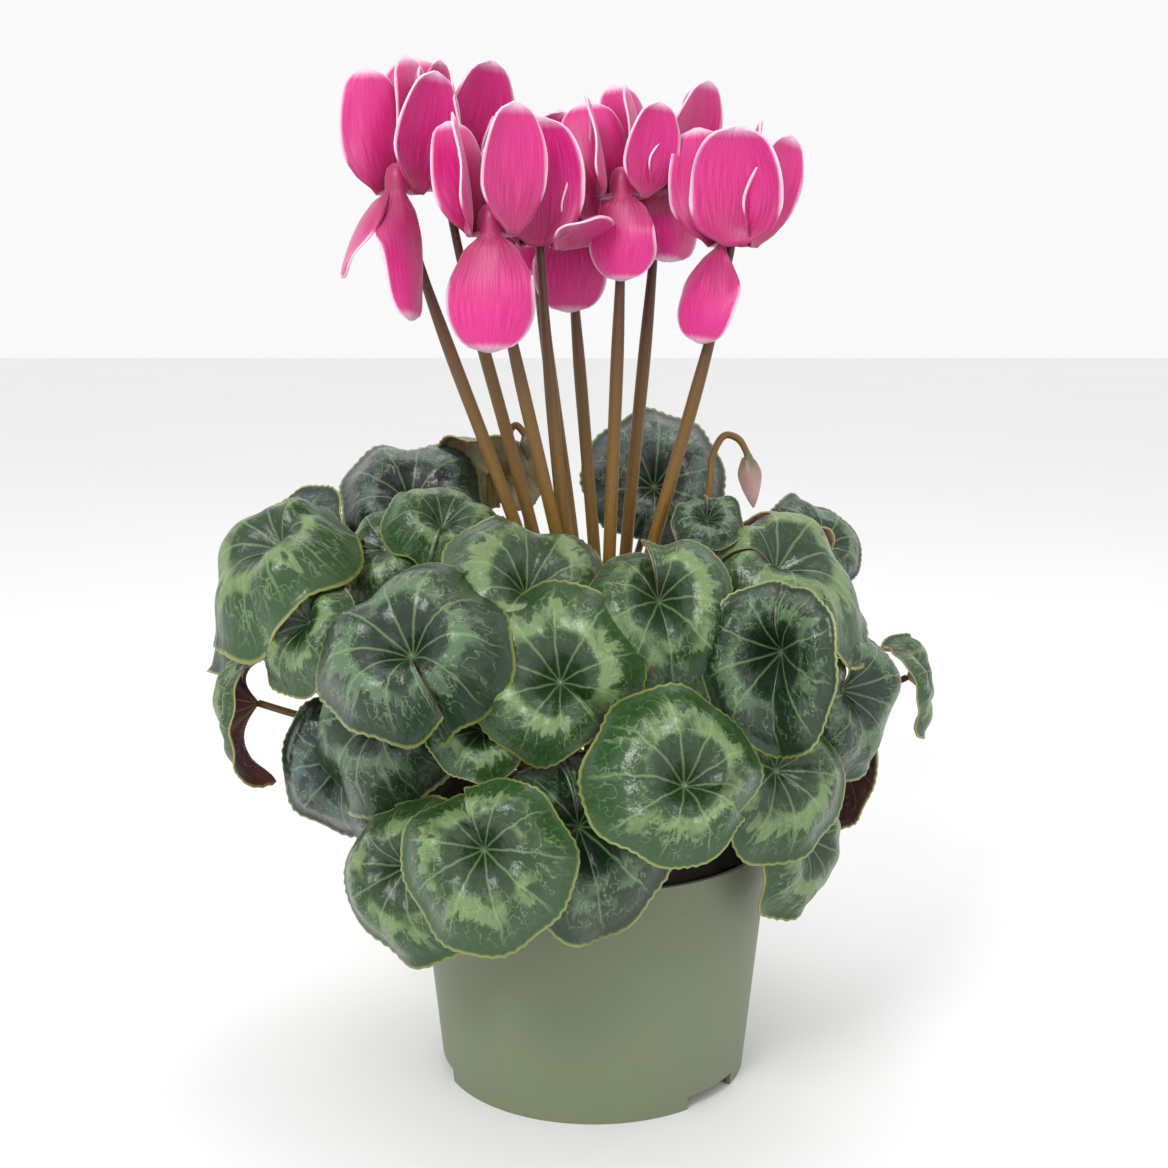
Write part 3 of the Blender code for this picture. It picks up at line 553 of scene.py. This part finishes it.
def tuber(collection, material):
    """A flattened, lumpy ball."""
    work = bmesh.new()
    bmesh.ops.create_uvsphere(work, u_segments=20, v_segments=10, radius=1.0)
    for vert in work.verts:
        p = vert.co.copy()
        squash = TUBER_UPPER_SHARE if p.z > 0 else 1.0
        radius = (TUBER_RADIUS - 0.2) * (0.985 + 0.015 * math.sin(4 * math.atan2(p.y, p.x)))
        height = TUBER_HEIGHT * squash
        vert.co = Vector((p.x * radius, p.y * radius, p.z * height + TUBER_CENTRE_Z)) * MM
    mesh = bpy.data.meshes.new("tuber")
    work.to_mesh(mesh)
    work.free()
    return add_object("tuber", mesh, collection, material)


def leaf_frame(face, tilt, spin):
    """Tip, side and upward directions of a blade."""
    a, t, s = (math.radians(v) for v in (face, tilt, spin))
    normal = Vector((math.sin(t) * math.cos(a), math.sin(t) * math.sin(a), math.cos(t)))
    downhill = Vector((math.cos(t) * math.cos(a), math.cos(t) * math.sin(a), -math.sin(t)))
    across = normal.cross(downhill)
    tip = downhill * math.cos(s) + across * math.sin(s)
    return tip, normal.cross(tip), normal


def outline(angle):
    """Blade radius as a share of the largest, at an angle from the tip in radians."""
    return 0.88 + 0.12 * math.cos(angle) - 0.14 * smooth((abs(angle) - 2.0) / 1.1)


def blade_point(angle, share, leaf):
    """A point of the blade's middle surface in its own axes: towards the tip, across, up."""
    radius, cup, fold, curl, wave, lap = leaf[3], *leaf[7:12]
    reach = radius * outline(angle) * share
    x, y = reach * math.cos(angle), reach * math.sin(angle)
    rise = cup * share * (1.3 - 0.55 * share) - curl * share**3 * 0.8
    rise += fold * abs(math.sin(angle)) * share
    rise += wave * share**2 * math.sin(5.0 * angle + 2.0 * face_phase(leaf))
    rise += lap * share * math.copysign(smooth((abs(angle) - 1.2) / 1.9), angle)
    drop = 0.30 * curl * share**2 * max(0.0, math.cos(angle)) ** 2
    squeeze = 1.0 - 0.45 * fold
    return Vector((x, y * squeeze, radius * (rise - drop)))


def face_phase(leaf):
    """A phase that differs from leaf to leaf."""
    return math.radians(leaf[0] * 7.0 + leaf[2] * 3.0)


def petiole_route(leaf, base):
    """From the tuber out under the blade, then up into its underside."""
    end = Vector(leaf[:3])
    normal = leaf_frame(*leaf[4:7])[2]
    span = (end - base).length
    outward = Vector((base.x, base.y, 0.0)).normalized()
    start = base + (Vector((0, 0, 1)) * 0.75 + outward * 0.35) * span * 0.30
    arrive = end - normal * span * 0.30 - Vector((0, 0, 1)) * span * 0.12
    return cubic(base, start, arrive, end + normal * 0.2, 7)


def seat_on_tuber(ring, bearing):
    return polar(ring, bearing, tuber_top(ring) + SEAT_GAP + 0.2)


def ring_places(table, ring):
    """Seats on the tuber, shared out in the order of the stems' bearings."""
    order = sorted(table, key=lambda n: math.atan2(table[n][1], table[n][0]))
    bearings = [-180.0 + 360.0 * (i + 0.5) / len(order) for i in range(len(order))]
    return {name: seat_on_tuber(ring, bearing) for name, bearing in zip(order, bearings)}


def petal_path(nose, seat, petal, count):
    """Points, headings and side directions along one petal, from the mouth of the flower."""
    bearing, lean, turn, length = petal[:4]
    steps = 40
    place = nose + polar(TUBE_RADIUS, seat)
    bend = 2.2 * math.radians(180.0 - lean) + 0.5
    rows = [0.0]
    rows += [bend + (length - bend) * (i / (count - 1)) for i in range(count)]
    samples = []
    walked = 0.0
    step = length / steps

    def course():
        """The direction along the petal, and the bearing it takes, at the distance walked."""
        heading = math.radians(180.0 - (180.0 - lean) * smooth(walked / bend))
        away = seat + ((bearing - seat + 180.0) % 360.0 - 180.0) * smooth(walked / (0.5 * length))
        return polar(math.sin(heading), away) + Vector((0, 0, math.cos(heading))), away

    for row in rows:
        while walked < row - 1e-6:
            small = min(step, row - walked)
            place = place + course()[0] * small
            walked += small
        ahead, away = course()
        side = Vector((0, 0, 1)).cross(polar(1.0, away)).normalized()
        angle = math.radians(turn) * smooth(walked / (0.5 * length))
        normal = side.cross(ahead).normalized()
        side = side * math.cos(angle) + normal * math.sin(angle)
        samples.append((place, side, side.cross(ahead).normalized(), walked / length))
    return samples


def petal_half_width(share, width):
    """Half of the frame's petal width at a share of its length."""
    if share > PETAL_WIDEST:
        return 0.5 * width * math.sqrt(max(0.0, 1.0 - ((share - PETAL_WIDEST) / PETAL_TIP_SPAN) ** 2))
    return 0.5 * width * (PETAL_NECK + (1.0 - PETAL_NECK) * smooth(share / PETAL_WIDEST))


def stalk_route(nose, base):
    """Up from the tuber and into the flower's tube, to just under its closed end."""
    end = nose + Vector((0, 0, TUBE_LENGTH - STALK_SEAT_DEPTH))
    span = (nose - base).length
    start = base + Vector((0, 0, 0.3 * span))
    lean = (nose - base).normalized() + Vector((0, 0, 0.4))
    points = cubic(base, start, nose - lean * 0.2 * span, nose + Vector((0, 0, 1.0)), 8)
    return points + [end]


def bud_route(bud, base):
    """A hooked stalk that swells into a closed, pointed bud, as a route and a radius at each point."""
    points = [Vector(p) for p in bud["route"]]
    first = points[0]
    rise = Vector((0, 0, (first - base).length))
    route = cubic(base, base + rise * 0.35, first - rise * 0.3, first, 5) + points[1:]
    radii = [bud["stalk"]] * len(route)
    down = Vector(bud["heading"]).normalized()
    for share, swell in BUD_SWELL:
        route.append(points[-1] + down * bud["length"] * share)
        radii.append(bud["radius"] * swell)
    return route, radii


def finish_piece(obj, node, material=None):
    if material:
        obj.data.materials.clear()
        obj.data.materials.append(material)
    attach(obj, "root")
    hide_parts(node)
    return obj


def applied(obj, name):
    """A new object with the modifiers of this one applied."""
    mesh = bake(obj)
    new = bpy.data.objects.new(name, mesh)
    scene.collection.objects.link(new)
    new.location = obj.location
    bpy.data.objects.remove(obj, do_unlink=True)
    mesh.shade_smooth()
    return new


class Nodes:
    """Short calls for building a shader."""

    def __init__(self, name, roughness):
        self.material = bpy.data.materials.new(name)
        self.material.use_nodes = True
        self.tree = self.material.node_tree
        self.shader = self.tree.nodes["Principled BSDF"]
        self.shader.inputs["Roughness"].default_value = roughness

    def node(self, kind, **settings):
        made = self.tree.nodes.new(kind)
        for key, value in settings.items():
            setattr(made, key, value)
        return made

    def plug(self, value, socket):
        if isinstance(value, bpy.types.NodeSocket):
            self.tree.links.new(value, socket)
        else:
            socket.default_value = value

    def math(self, operation, a, b=0.0, c=0.0, clamp=False):
        made = self.node("ShaderNodeMath", operation=operation, use_clamp=clamp)
        for socket, value in zip(made.inputs, (a, b, c)):
            self.plug(value, socket)
        return made.outputs[0]

    def ramp(self, value, low, high):
        """0 below low and 1 above high, eased between."""
        made = self.node("ShaderNodeMapRange", interpolation_type="SMOOTHSTEP")
        self.plug(value, made.inputs["Value"])
        self.plug(low, made.inputs["From Min"])
        self.plug(high, made.inputs["From Max"])
        return made.outputs["Result"]

    def mix(self, factor, a, b):
        made = self.node("ShaderNodeMix", data_type="RGBA")
        self.plug(factor, made.inputs["Factor"])
        self.plug(a if isinstance(a, bpy.types.NodeSocket) else (*a, 1.0), made.inputs["A"])
        self.plug(b if isinstance(b, bpy.types.NodeSocket) else (*b, 1.0), made.inputs["B"])
        return made.outputs["Result"]

    def attribute(self, name):
        made = self.node("ShaderNodeAttribute", attribute_name=name)
        split = self.node("ShaderNodeSeparateXYZ")
        self.tree.links.new(made.outputs["Vector"], split.inputs[0])
        return split.outputs

    def vector(self, x, y, z):
        made = self.node("ShaderNodeCombineXYZ")
        for socket, value in zip(made.inputs, (x, y, z)):
            self.plug(value, socket)
        return made.outputs[0]

    def noise(self, vector, scale, detail=4.0):
        made = self.node("ShaderNodeTexNoise")
        made.inputs["Scale"].default_value = scale
        made.inputs["Detail"].default_value = detail
        if vector is None:
            vector = self.node("ShaderNodeTexCoord").outputs["Object"]
        self.tree.links.new(vector, made.inputs["Vector"])
        return made.outputs["Fac"]

    def colour(self, value):
        self.plug(value, self.shader.inputs["Base Color"])

    def bump(self, height, strength, distance):
        made = self.node("ShaderNodeBump")
        made.inputs["Strength"].default_value = strength
        made.inputs["Distance"].default_value = distance
        self.tree.links.new(height, made.inputs["Height"])
        self.tree.links.new(made.outputs[0], self.shader.inputs["Normal"])


def leaf_veins(n, x, y, share, seed):
    """Pale lines that fan from the petiole, with side branches."""
    angle = n.math("ARCTAN2", y, x)
    wobble = n.math("MULTIPLY", n.math("SUBTRACT", n.noise(n.vector(x, y, seed), 5.0), 0.5), 0.30)
    turn = n.math("ADD", n.math("DIVIDE", angle, math.radians(36.0)), wobble)
    off = n.math("ABSOLUTE", n.math("SUBTRACT", turn, n.math("ROUND", turn)))
    width = n.math("MULTIPLY", off, share)
    main = n.math("SUBTRACT", 1.0, n.ramp(width, 0.008, 0.030))
    twig = n.noise(n.vector(x, y, n.math("ADD", seed, 7.0)), 7.0, 2.0)
    net = n.math("SUBTRACT", 1.0, n.ramp(n.math("ABSOLUTE", n.math("SUBTRACT", twig, 0.5)), 0.004, 0.022))
    main = n.math("MAXIMUM", main, n.math("MULTIPLY", net, n.ramp(share, 0.30, 0.55)))
    return n.math("MULTIPLY", main, n.math("SUBTRACT", 1.0, n.ramp(share, 0.78, 0.98)))


def leaf_top_material(name, dark, mid, silver):
    """Green with a ragged silver ring, pale veins and a yellowish margin."""
    n = Nodes(name, 0.30)
    x, y, share = n.attribute("leaf")
    seed = n.attribute("tone")[0]
    near = n.math("ADD", share, 0.05)
    streak = n.vector(n.math("DIVIDE", x, near), n.math("DIVIDE", y, near),
                      n.math("ADD", n.math("MULTIPLY", share, 0.5), seed))
    spikes = n.noise(streak, 7.0, 6.0)
    blot = n.noise(n.vector(x, y, seed), 2.4, 5.0)
    inner = n.math("ADD", 0.28, n.math("MULTIPLY", blot, 0.34))
    outer = n.math("ADD", 0.34, n.math("MULTIPLY", spikes, 0.78))
    ring = n.math("MULTIPLY", n.ramp(n.math("SUBTRACT", share, inner), -0.02, 0.05),
                  n.ramp(n.math("SUBTRACT", outer, share), -0.02, 0.05))
    patchy = n.math("MULTIPLY", ring, n.ramp(blot, 0.40, 0.56))
    green = n.mix(n.ramp(share, 0.1, 1.0), dark, mid)
    green = n.mix(n.math("MULTIPLY", n.noise(n.vector(x, y, seed), 9.0, 6.0), 0.10), green, silver)
    base = n.mix(n.math("MULTIPLY", patchy, 0.95), green, silver)
    veined = n.mix(n.math("MULTIPLY", leaf_veins(n, x, y, share, seed), 0.42), base, TOP_VEINS)
    n.colour(n.mix(n.ramp(share, 0.965, 0.995), veined, TOP_MARGIN))
    n.bump(n.noise(n.vector(x, y, seed), 10.0, 4.0), 0.5, 0.0012)
    n.plug(n.math("ADD", 0.16, n.math("MULTIPLY", blot, 0.30)), n.shader.inputs["Roughness"])
    n.shader.inputs["Coat Weight"].default_value = 0.15
    n.shader.inputs["Coat Roughness"].default_value = 0.28
    return n.material


def leaf_under_material(name, pale, flush):
    """The underside: a flush in blots, veins and the same margin."""
    n = Nodes(name, 0.5)
    x, y, share = n.attribute("leaf")
    seed = n.attribute("tone")[0]
    blot = n.noise(n.vector(x, y, seed), 2.6, 5.0)
    base = n.mix(n.ramp(blot, 0.38, 0.62), flush, pale)
    veined = n.mix(n.math("MULTIPLY", leaf_veins(n, x, y, share, seed), 0.4), base, UNDER_VEINS)
    n.colour(n.mix(n.ramp(share, 0.96, 0.995), veined, UNDER_MARGIN))
    n.bump(n.noise(n.vector(x, y, seed), 14.0, 4.0), 0.3, 0.0005)
    return n.material


def petal_material():
    """Magenta with fine lines along the petal, dark in the throat and white at the edge."""
    n = Nodes("petal_magenta", 0.42)
    across, share, edge = n.attribute("petal")
    lines = n.noise(n.vector(n.math("MULTIPLY", across, 9.0), n.math("MULTIPLY", share, 1.1), 0.0), 3.2, 5.0)
    pink = n.mix(n.ramp(share, 0.02, 0.75), PETAL_THROAT, PETAL_PINK)
    pink = n.mix(n.math("MULTIPLY", n.ramp(lines, 0.36, 0.66), 0.60), pink, PETAL_STREAK)
    rough_edge = n.math("ADD", edge, n.math("MULTIPLY", n.math("SUBTRACT", lines, 0.5), 0.12))
    n.colour(n.mix(n.ramp(rough_edge, 0.80, 1.03), pink, PETAL_EDGE))
    n.bump(lines, 0.25, 0.0006)
    n.shader.inputs["Sheen Weight"].default_value = 0.25
    n.shader.inputs["Subsurface Weight"].default_value = 0.12
    n.shader.inputs["Subsurface Radius"].default_value = (0.004, 0.001, 0.002)
    return n.material


def height_material(name, low, high, colours, roughness, grain, speckle=0.45):
    """Colour that changes with height, broken up by fine grain."""
    n = Nodes(name, roughness)
    place = n.node("ShaderNodeTexCoord").outputs["Object"]
    split = n.node("ShaderNodeSeparateXYZ")
    n.tree.links.new(place, split.inputs[0])
    base = n.mix(n.ramp(split.outputs[2], low, high), *colours)
    speck = n.noise(place, grain, 6.0)
    dark = tuple(c * 0.55 for c in colours[0])
    n.colour(n.mix(n.math("MULTIPLY", n.ramp(speck, 0.45, 0.75), speckle), base, dark))
    n.bump(speck, 0.2, 0.0004)
    return n.material


def fine_blade_point(share, angle, leaf):
    """A point of the visible blade: the frame's, with waves, quilting and rounded teeth added."""
    point = blade_point(angle, share, leaf)
    tooth = 0.022 * abs(math.sin(0.5 * MARGIN_TEETH * angle)) * smooth((share - 0.86) / 0.14)
    phase = face_phase(leaf)
    ripple = 0.012 * math.sin(11.0 * angle + phase) * share**3
    ripple += LOBE_LIFT * math.copysign(smooth((abs(angle) - 2.2) / 0.9), angle) * share
    ruffle = 1.0 + 0.035 * math.sin(4.0 * angle + 1.7 * phase) + 0.020 * math.sin(9.0 * angle + phase)
    stretch = (0.988 + tooth) * (1.0 + (ruffle - 1.0) * share)
    point.x *= stretch
    point.y *= stretch
    buckle = 0.055 * math.sin(3.0 * angle + phase) + 0.030 * math.sin(7.0 * angle + 2.0 * phase)
    quilt = 0.016 * math.cos(10.0 * angle) * math.sin(math.pi * share)
    dish = 0.16 * math.sin(math.pi * min(share * 1.1, 1.0)) - 0.10 * smooth((share - 0.7) / 0.3)
    point.z += leaf[3] * (ripple + buckle * share**2 + quilt * share + dish)
    return point


def add_layer(mesh, name, rows):
    """A vector for each point, which the materials read."""
    layer = mesh.attributes.new(name, "FLOAT_VECTOR", "POINT")
    layer.data.foreach_set("vector", [v for row in rows for v in row])


def thicken(obj, thickness):
    """Gives a sheet its thickness, half on each side."""
    shell = obj.modifiers.new("thickness", "SOLIDIFY")
    shell.thickness = thickness * MM
    shell.offset = 0.0
    return shell


def fine_leaf(name, leaf, top, under):
    """A blade as a toothed sheet, with one material above and another beneath."""
    rings, sectors = FINE_RINGS, FINE_SECTORS
    origin = Vector(leaf[:3])
    tip, across, normal = leaf_frame(*leaf[4:7])
    limit = math.pi + LOBE_OVERLAP
    points, marks = [origin], [(0.0, 0.0, 0.0)]
    for r in range(1, rings + 1):
        share = (r / rings) ** 0.9
        for s in range(sectors + 1):
            angle = -limit + 2.0 * limit * s / sectors
            local = fine_blade_point(share, angle, leaf)
            points.append(origin + tip * local.x + across * local.y + normal * local.z)
            marks.append((share * math.cos(angle), share * math.sin(angle), share))
    faces = [(0, 1 + s, 2 + s) for s in range(sectors)]
    for r in range(rings - 1):
        for s in range(sectors):
            a = 1 + r * (sectors + 1) + s
            faces.append((a, a + sectors + 1, a + sectors + 2, a + 1))
    mesh = mesh_from(name, points, faces)
    add_layer(mesh, "leaf", marks)
    add_layer(mesh, "tone", [((leaf[0] + 2 * leaf[2]) % 37 * 1.3, 0.0, 0.0)] * len(points))
    mesh.materials.append(top)
    mesh.materials.append(under)
    obj = add_object(name, mesh, scene.collection)
    shell = thicken(obj, BLADE_THICKNESS)
    shell.material_offset = 1
    shell.material_offset_rim = 1
    return applied(obj, name)


def fine_half_width(share, petal):
    """Half of the visible petal's width: a broad foot, the frame's outer part and a rounded tip."""
    lean, width = petal[1], petal[4] * PETAL_FULLNESS
    half = petal_half_width(min(share, 0.995), width)
    if share < PETAL_WIDEST:
        foot = 0.50 if lean > HANGING_LEAN else 0.40
        half = 0.5 * width * (foot + (1.0 - foot) * smooth(share / 0.50))
    if share > PETAL_TIP_ROUNDING:
        half *= math.sqrt(max(0.02, 1.0 - ((share - PETAL_TIP_ROUNDING) / 0.072) ** 2))
    return half


def fine_petals(name, flower, material):
    """A corolla: a closed tube, and five ruffled petals that grow from its mouth."""
    nose = Vector(flower[0])
    width_count = 2 * PETAL_HALF_COLUMNS
    angles = []
    for k in range(5):
        a, b = SEAT_EDGES[k], SEAT_EDGES[(k + 1) % 5]
        b = b if b > a else b + 360.0
        angles += [a + (b - a) * j / width_count for j in range(width_count)]
    total = len(angles)
    points, marks = [nose + Vector((0, 0, TUBE_LENGTH))], [(0.0, 0.0, 0.0)]
    for radius, height in TUBE_LEVELS:
        points += [nose + polar(TUBE_RADIUS * radius, a, TUBE_LENGTH * height) for a in angles]
        marks += [(0.0, 0.0, 0.0)] * total
    faces = [(0, 1 + i, 1 + (i + 1) % total) for i in range(total)]
    for level in range(len(TUBE_LEVELS) - 1):
        start = 1 + level * total
        for i in range(total):
            j = (i + 1) % total
            faces.append((start + i, start + total + i, start + total + j, start + j))
    mouth = 1 + (len(TUBE_LEVELS) - 1) * total
    for k, petal in enumerate(flower[1]):
        row = [mouth + (k * width_count + j) % total for j in range(width_count + 1)]
        base_points = [points[i] for i in row]
        root = nose + polar(TUBE_RADIUS, SEATS[k])
        path = petal_path(nose, SEATS[k], petal, PETAL_ROWS)[1:]
        for i, (place, side, normal, share) in enumerate(path):
            half = fine_half_width(share, petal)
            blend = smooth((i + 1) / 4.0)
            start = len(points)
            for j in range(width_count + 1):
                u = j / PETAL_HALF_COLUMNS - 1.0
                cup = 0.22 * half * (1.0 - u * u)
                ruffle = 0.09 * half * math.sin(9.0 * share + 4.0 * u + k) * u * u
                ruffle += 0.05 * half * math.sin(3.0 * share + 2.2 * u + 1.9 * k)
                spot = place + side * half * u - normal * (cup + ruffle)
                if i < 3:
                    spot = spot.lerp(base_points[j] + (place - root), 1.0 - blend)
                points.append(spot)
                edge = max(abs(u) ** 1.9 * smooth((share - 0.1) / 0.35), share**2.4)
                marks.append((u + 2.0 * k, share, edge))
            new = [start + j for j in range(width_count + 1)]
            for j in range(width_count):
                faces.append((row[j], new[j], new[j + 1], row[j + 1]))
            row = new
    mesh = mesh_from(name, points, faces)
    add_layer(mesh, "petal", marks)
    mesh.materials.append(material)
    obj = add_object(name, mesh, scene.collection)
    thicken(obj, PETAL_THICKNESS)
    return applied(obj, name)


def smooth_route(points, per_span):
    """Points of a smooth curve through these ones."""
    ends = [points[0] * 2 - points[1]] + points + [points[-1] * 2 - points[-2]]
    out = []
    for i in range(1, len(ends) - 2):
        p0, p1, p2, p3 = ends[i - 1:i + 3]
        for step in range(per_span):
            t = step / per_span
            out.append(0.5 * (2 * p1 + (p2 - p0) * t + (2 * p0 - 5 * p1 + 4 * p2 - p3) * t * t
                              + (3 * p1 - p0 - 3 * p2 + p3) * t**3))
    return out + [points[-1]]


def smooth_tube(name, points, radii, material, per_span=4, sides=16):
    fine = smooth_route([Vector(p) for p in points], per_span)
    widths = smooth_route([Vector((r, 0, 0)) for r in radii], per_span)
    return tube(name, fine, [max(w.x, 0.05) for w in widths], scene.collection, material, sides)


def leaf_kinds(name):
    """The leaf's material above and beneath. The dark and grey kinds above carry painted shade, and the grey
    kind a painted sheen too.
    """
    top = "leaf_grey" if name in GREY_SHEEN_AND_SHADE_LEAVES else "leaf_dark" if name in DARK_AND_SHADED_LEAVES else "leaf_bright"
    if name in MAROON_LEAVES:
        return top, "leaf_maroon_beneath"
    return top, "leaf_pink_beneath" if name in PINK_LEAVES else "leaf_olive_beneath"


def build_leaves():
    tops = {kind: leaf_top_material(kind, *colours) for kind, colours in TOP_COLOURS.items()}
    unders = {kind: leaf_under_material(kind, *colours) for kind, colours in UNDER_COLOURS.items()}
    petiole = height_material("petiole", 0.09, 0.16, PETIOLE_COLOURS, 0.4, 900.0)
    for name, leaf in LEAVES.items():
        top, under = leaf_kinds(name)
        blade = fine_leaf(name + "_blade", leaf, tops[top], unders[under])
        finish_piece(blade, name)
        route = petiole_route(leaf, seat_on_tuber(*leaf[12:14]))
        radii = [PETIOLE_RADIUS * (1.15 - 0.25 * i / 6) for i in range(7)]
        stem = smooth_tube(name + "_stem", route, radii, petiole)
        finish_piece(stem, name, petiole)


def paint_bud(whole, bud, route, skin):
    """Gives the swollen end of the tube the bud's own skin."""
    whole.data.materials.append(skin)
    start = route[-1 - len(BUD_SWELL)]
    middle = (start + route[-1]) * 0.5 * MM
    for face in whole.data.polygons:
        if (face.center - middle).length < BUD_SKIN_REACH * bud["length"] * MM:
            face.material_index = 1


def build_flowers():
    petals = petal_material()
    stalk = height_material("flower_stalk", 0.18, 0.28, STALK_COLOURS, 0.38, 700.0)
    bud_skin = height_material("bud_skin", 0.192, 0.207, BUD_COLOURS, 0.42, 500.0)
    table = {name: tuple(flower[0]) for name, flower in FLOWERS.items()}
    table.update({name: bud["route"][-1] for name, bud in BUDS.items()})
    seats = ring_places(table, INNER_RING)
    for name, flower in FLOWERS.items():
        route = stalk_route(Vector(flower[0]), seats[name])
        radii = [STALK_RADIUS * (0.85 if i < 2 else 1.0) * (0.7 if i > 5 else 1.0) for i in range(len(route))]
        finish_piece(smooth_tube(name + "_stem", route, radii, stalk), name + "_stalk", stalk)
        finish_piece(fine_petals(name + "_corolla", flower, petals), name + "_petals")
    for name, bud in BUDS.items():
        route, radii = bud_route(bud, seats[name])
        whole = smooth_tube(name + "_whole", route, radii, stalk, 6)
        paint_bud(whole, bud, route, bud_skin)
        finish_piece(whole, name)


def build_pot():
    holder = new_collection("holder")
    cutters = new_collection("cutters", hidden=True)
    # The pot darkens towards its rim: painted shade under the overhanging leaves.
    plastic = height_material("pot_plastic", 0.02, 0.08, POT_PLASTIC_AND_RIM_SHADE, 0.5, 260.0, 0.05)
    turned = pot(holder, cutters, plastic)
    whole = applied(turned, "nursery_pot")
    whole.data.set_sharp_from_angle(angle=math.radians(30.0))
    for cutter in list(cutters.objects):
        bpy.data.objects.remove(cutter, do_unlink=True)
    finish_piece(whole, "pot", plastic)


def build_soil():
    peat = height_material("peat", 0.07, 0.11, PEAT_COLOURS, 0.95, 420.0)
    skin = height_material("tuber_skin", 0.09, 0.11, TUBER_COLOURS, 0.8, 300.0)
    texture = bpy.data.textures.new("crumbs", "CLOUDS")
    texture.noise_scale = 0.0045
    for made, name, node, slot, material, depth in (
        (soil(scene.collection, peat), "peat_body", "soil", "peat", peat, 2.2),
        (tuber(scene.collection, skin), "tuber_body", "tuber", "tuber_skin", skin, 0.5),
    ):
        fine = made.modifiers.new("fine", "SUBSURF")
        fine.subdivision_type = "SIMPLE"
        fine.levels = fine.render_levels = 3
        rough = made.modifiers.new("crumbs", "DISPLACE")
        rough.texture = texture
        rough.strength = depth * MM
        rough.mid_level = 0.75
        finish_piece(applied(made, name), node, material)


def area_light(name, place, target, size, power):
    light = bpy.data.lights.new(name, "AREA")
    light.size = size
    light.energy = power
    obj = bpy.data.objects.new(name, light)
    obj.location = place
    obj.rotation_euler = (Vector(target) - Vector(place)).to_track_quat("-Z", "Y").to_euler()
    scene.collection.objects.link(obj)


def build_stage():
    bpy.ops.mesh.primitive_plane_add(size=FLOOR_SIZE, location=(0.0, 1.0, 0.0))
    floor = bpy.context.object
    floor.name = "studio_floor"
    n = Nodes("pale_floor", 0.8)
    n.colour(n.mix(n.noise(None, 3.0), *FLOOR_TONES))
    floor.data.materials.append(n.material)
    world = bpy.data.worlds.new("studio")
    scene.world = world
    world.use_nodes = True
    sky = world.node_tree.nodes["Background"]
    sky.inputs["Color"].default_value = (1.0, 1.0, 1.0, 1.0)
    sky.inputs["Strength"].default_value = SKY_STRENGTH
    scene.view_settings.view_transform = "Standard"
    for name, place, size, power in LIGHTS:
        area_light(name, place, PLANT_MIDDLE, size, power)


def build_camera():
    lens = bpy.data.cameras.new("camera")
    lens.sensor_width = CAMERA_SENSOR
    lens.lens = CAMERA_LENS
    camera = bpy.data.objects.new("camera", lens)
    camera.location = CAMERA_PLACE
    camera.rotation_euler = (math.pi / 2.0 - CAMERA_PITCH, 0.0, 0.0)
    scene.collection.objects.link(camera)
    scene.camera = camera


build_camera()
build_stage()
build_pot()
build_soil()
build_leaves()
build_flowers()
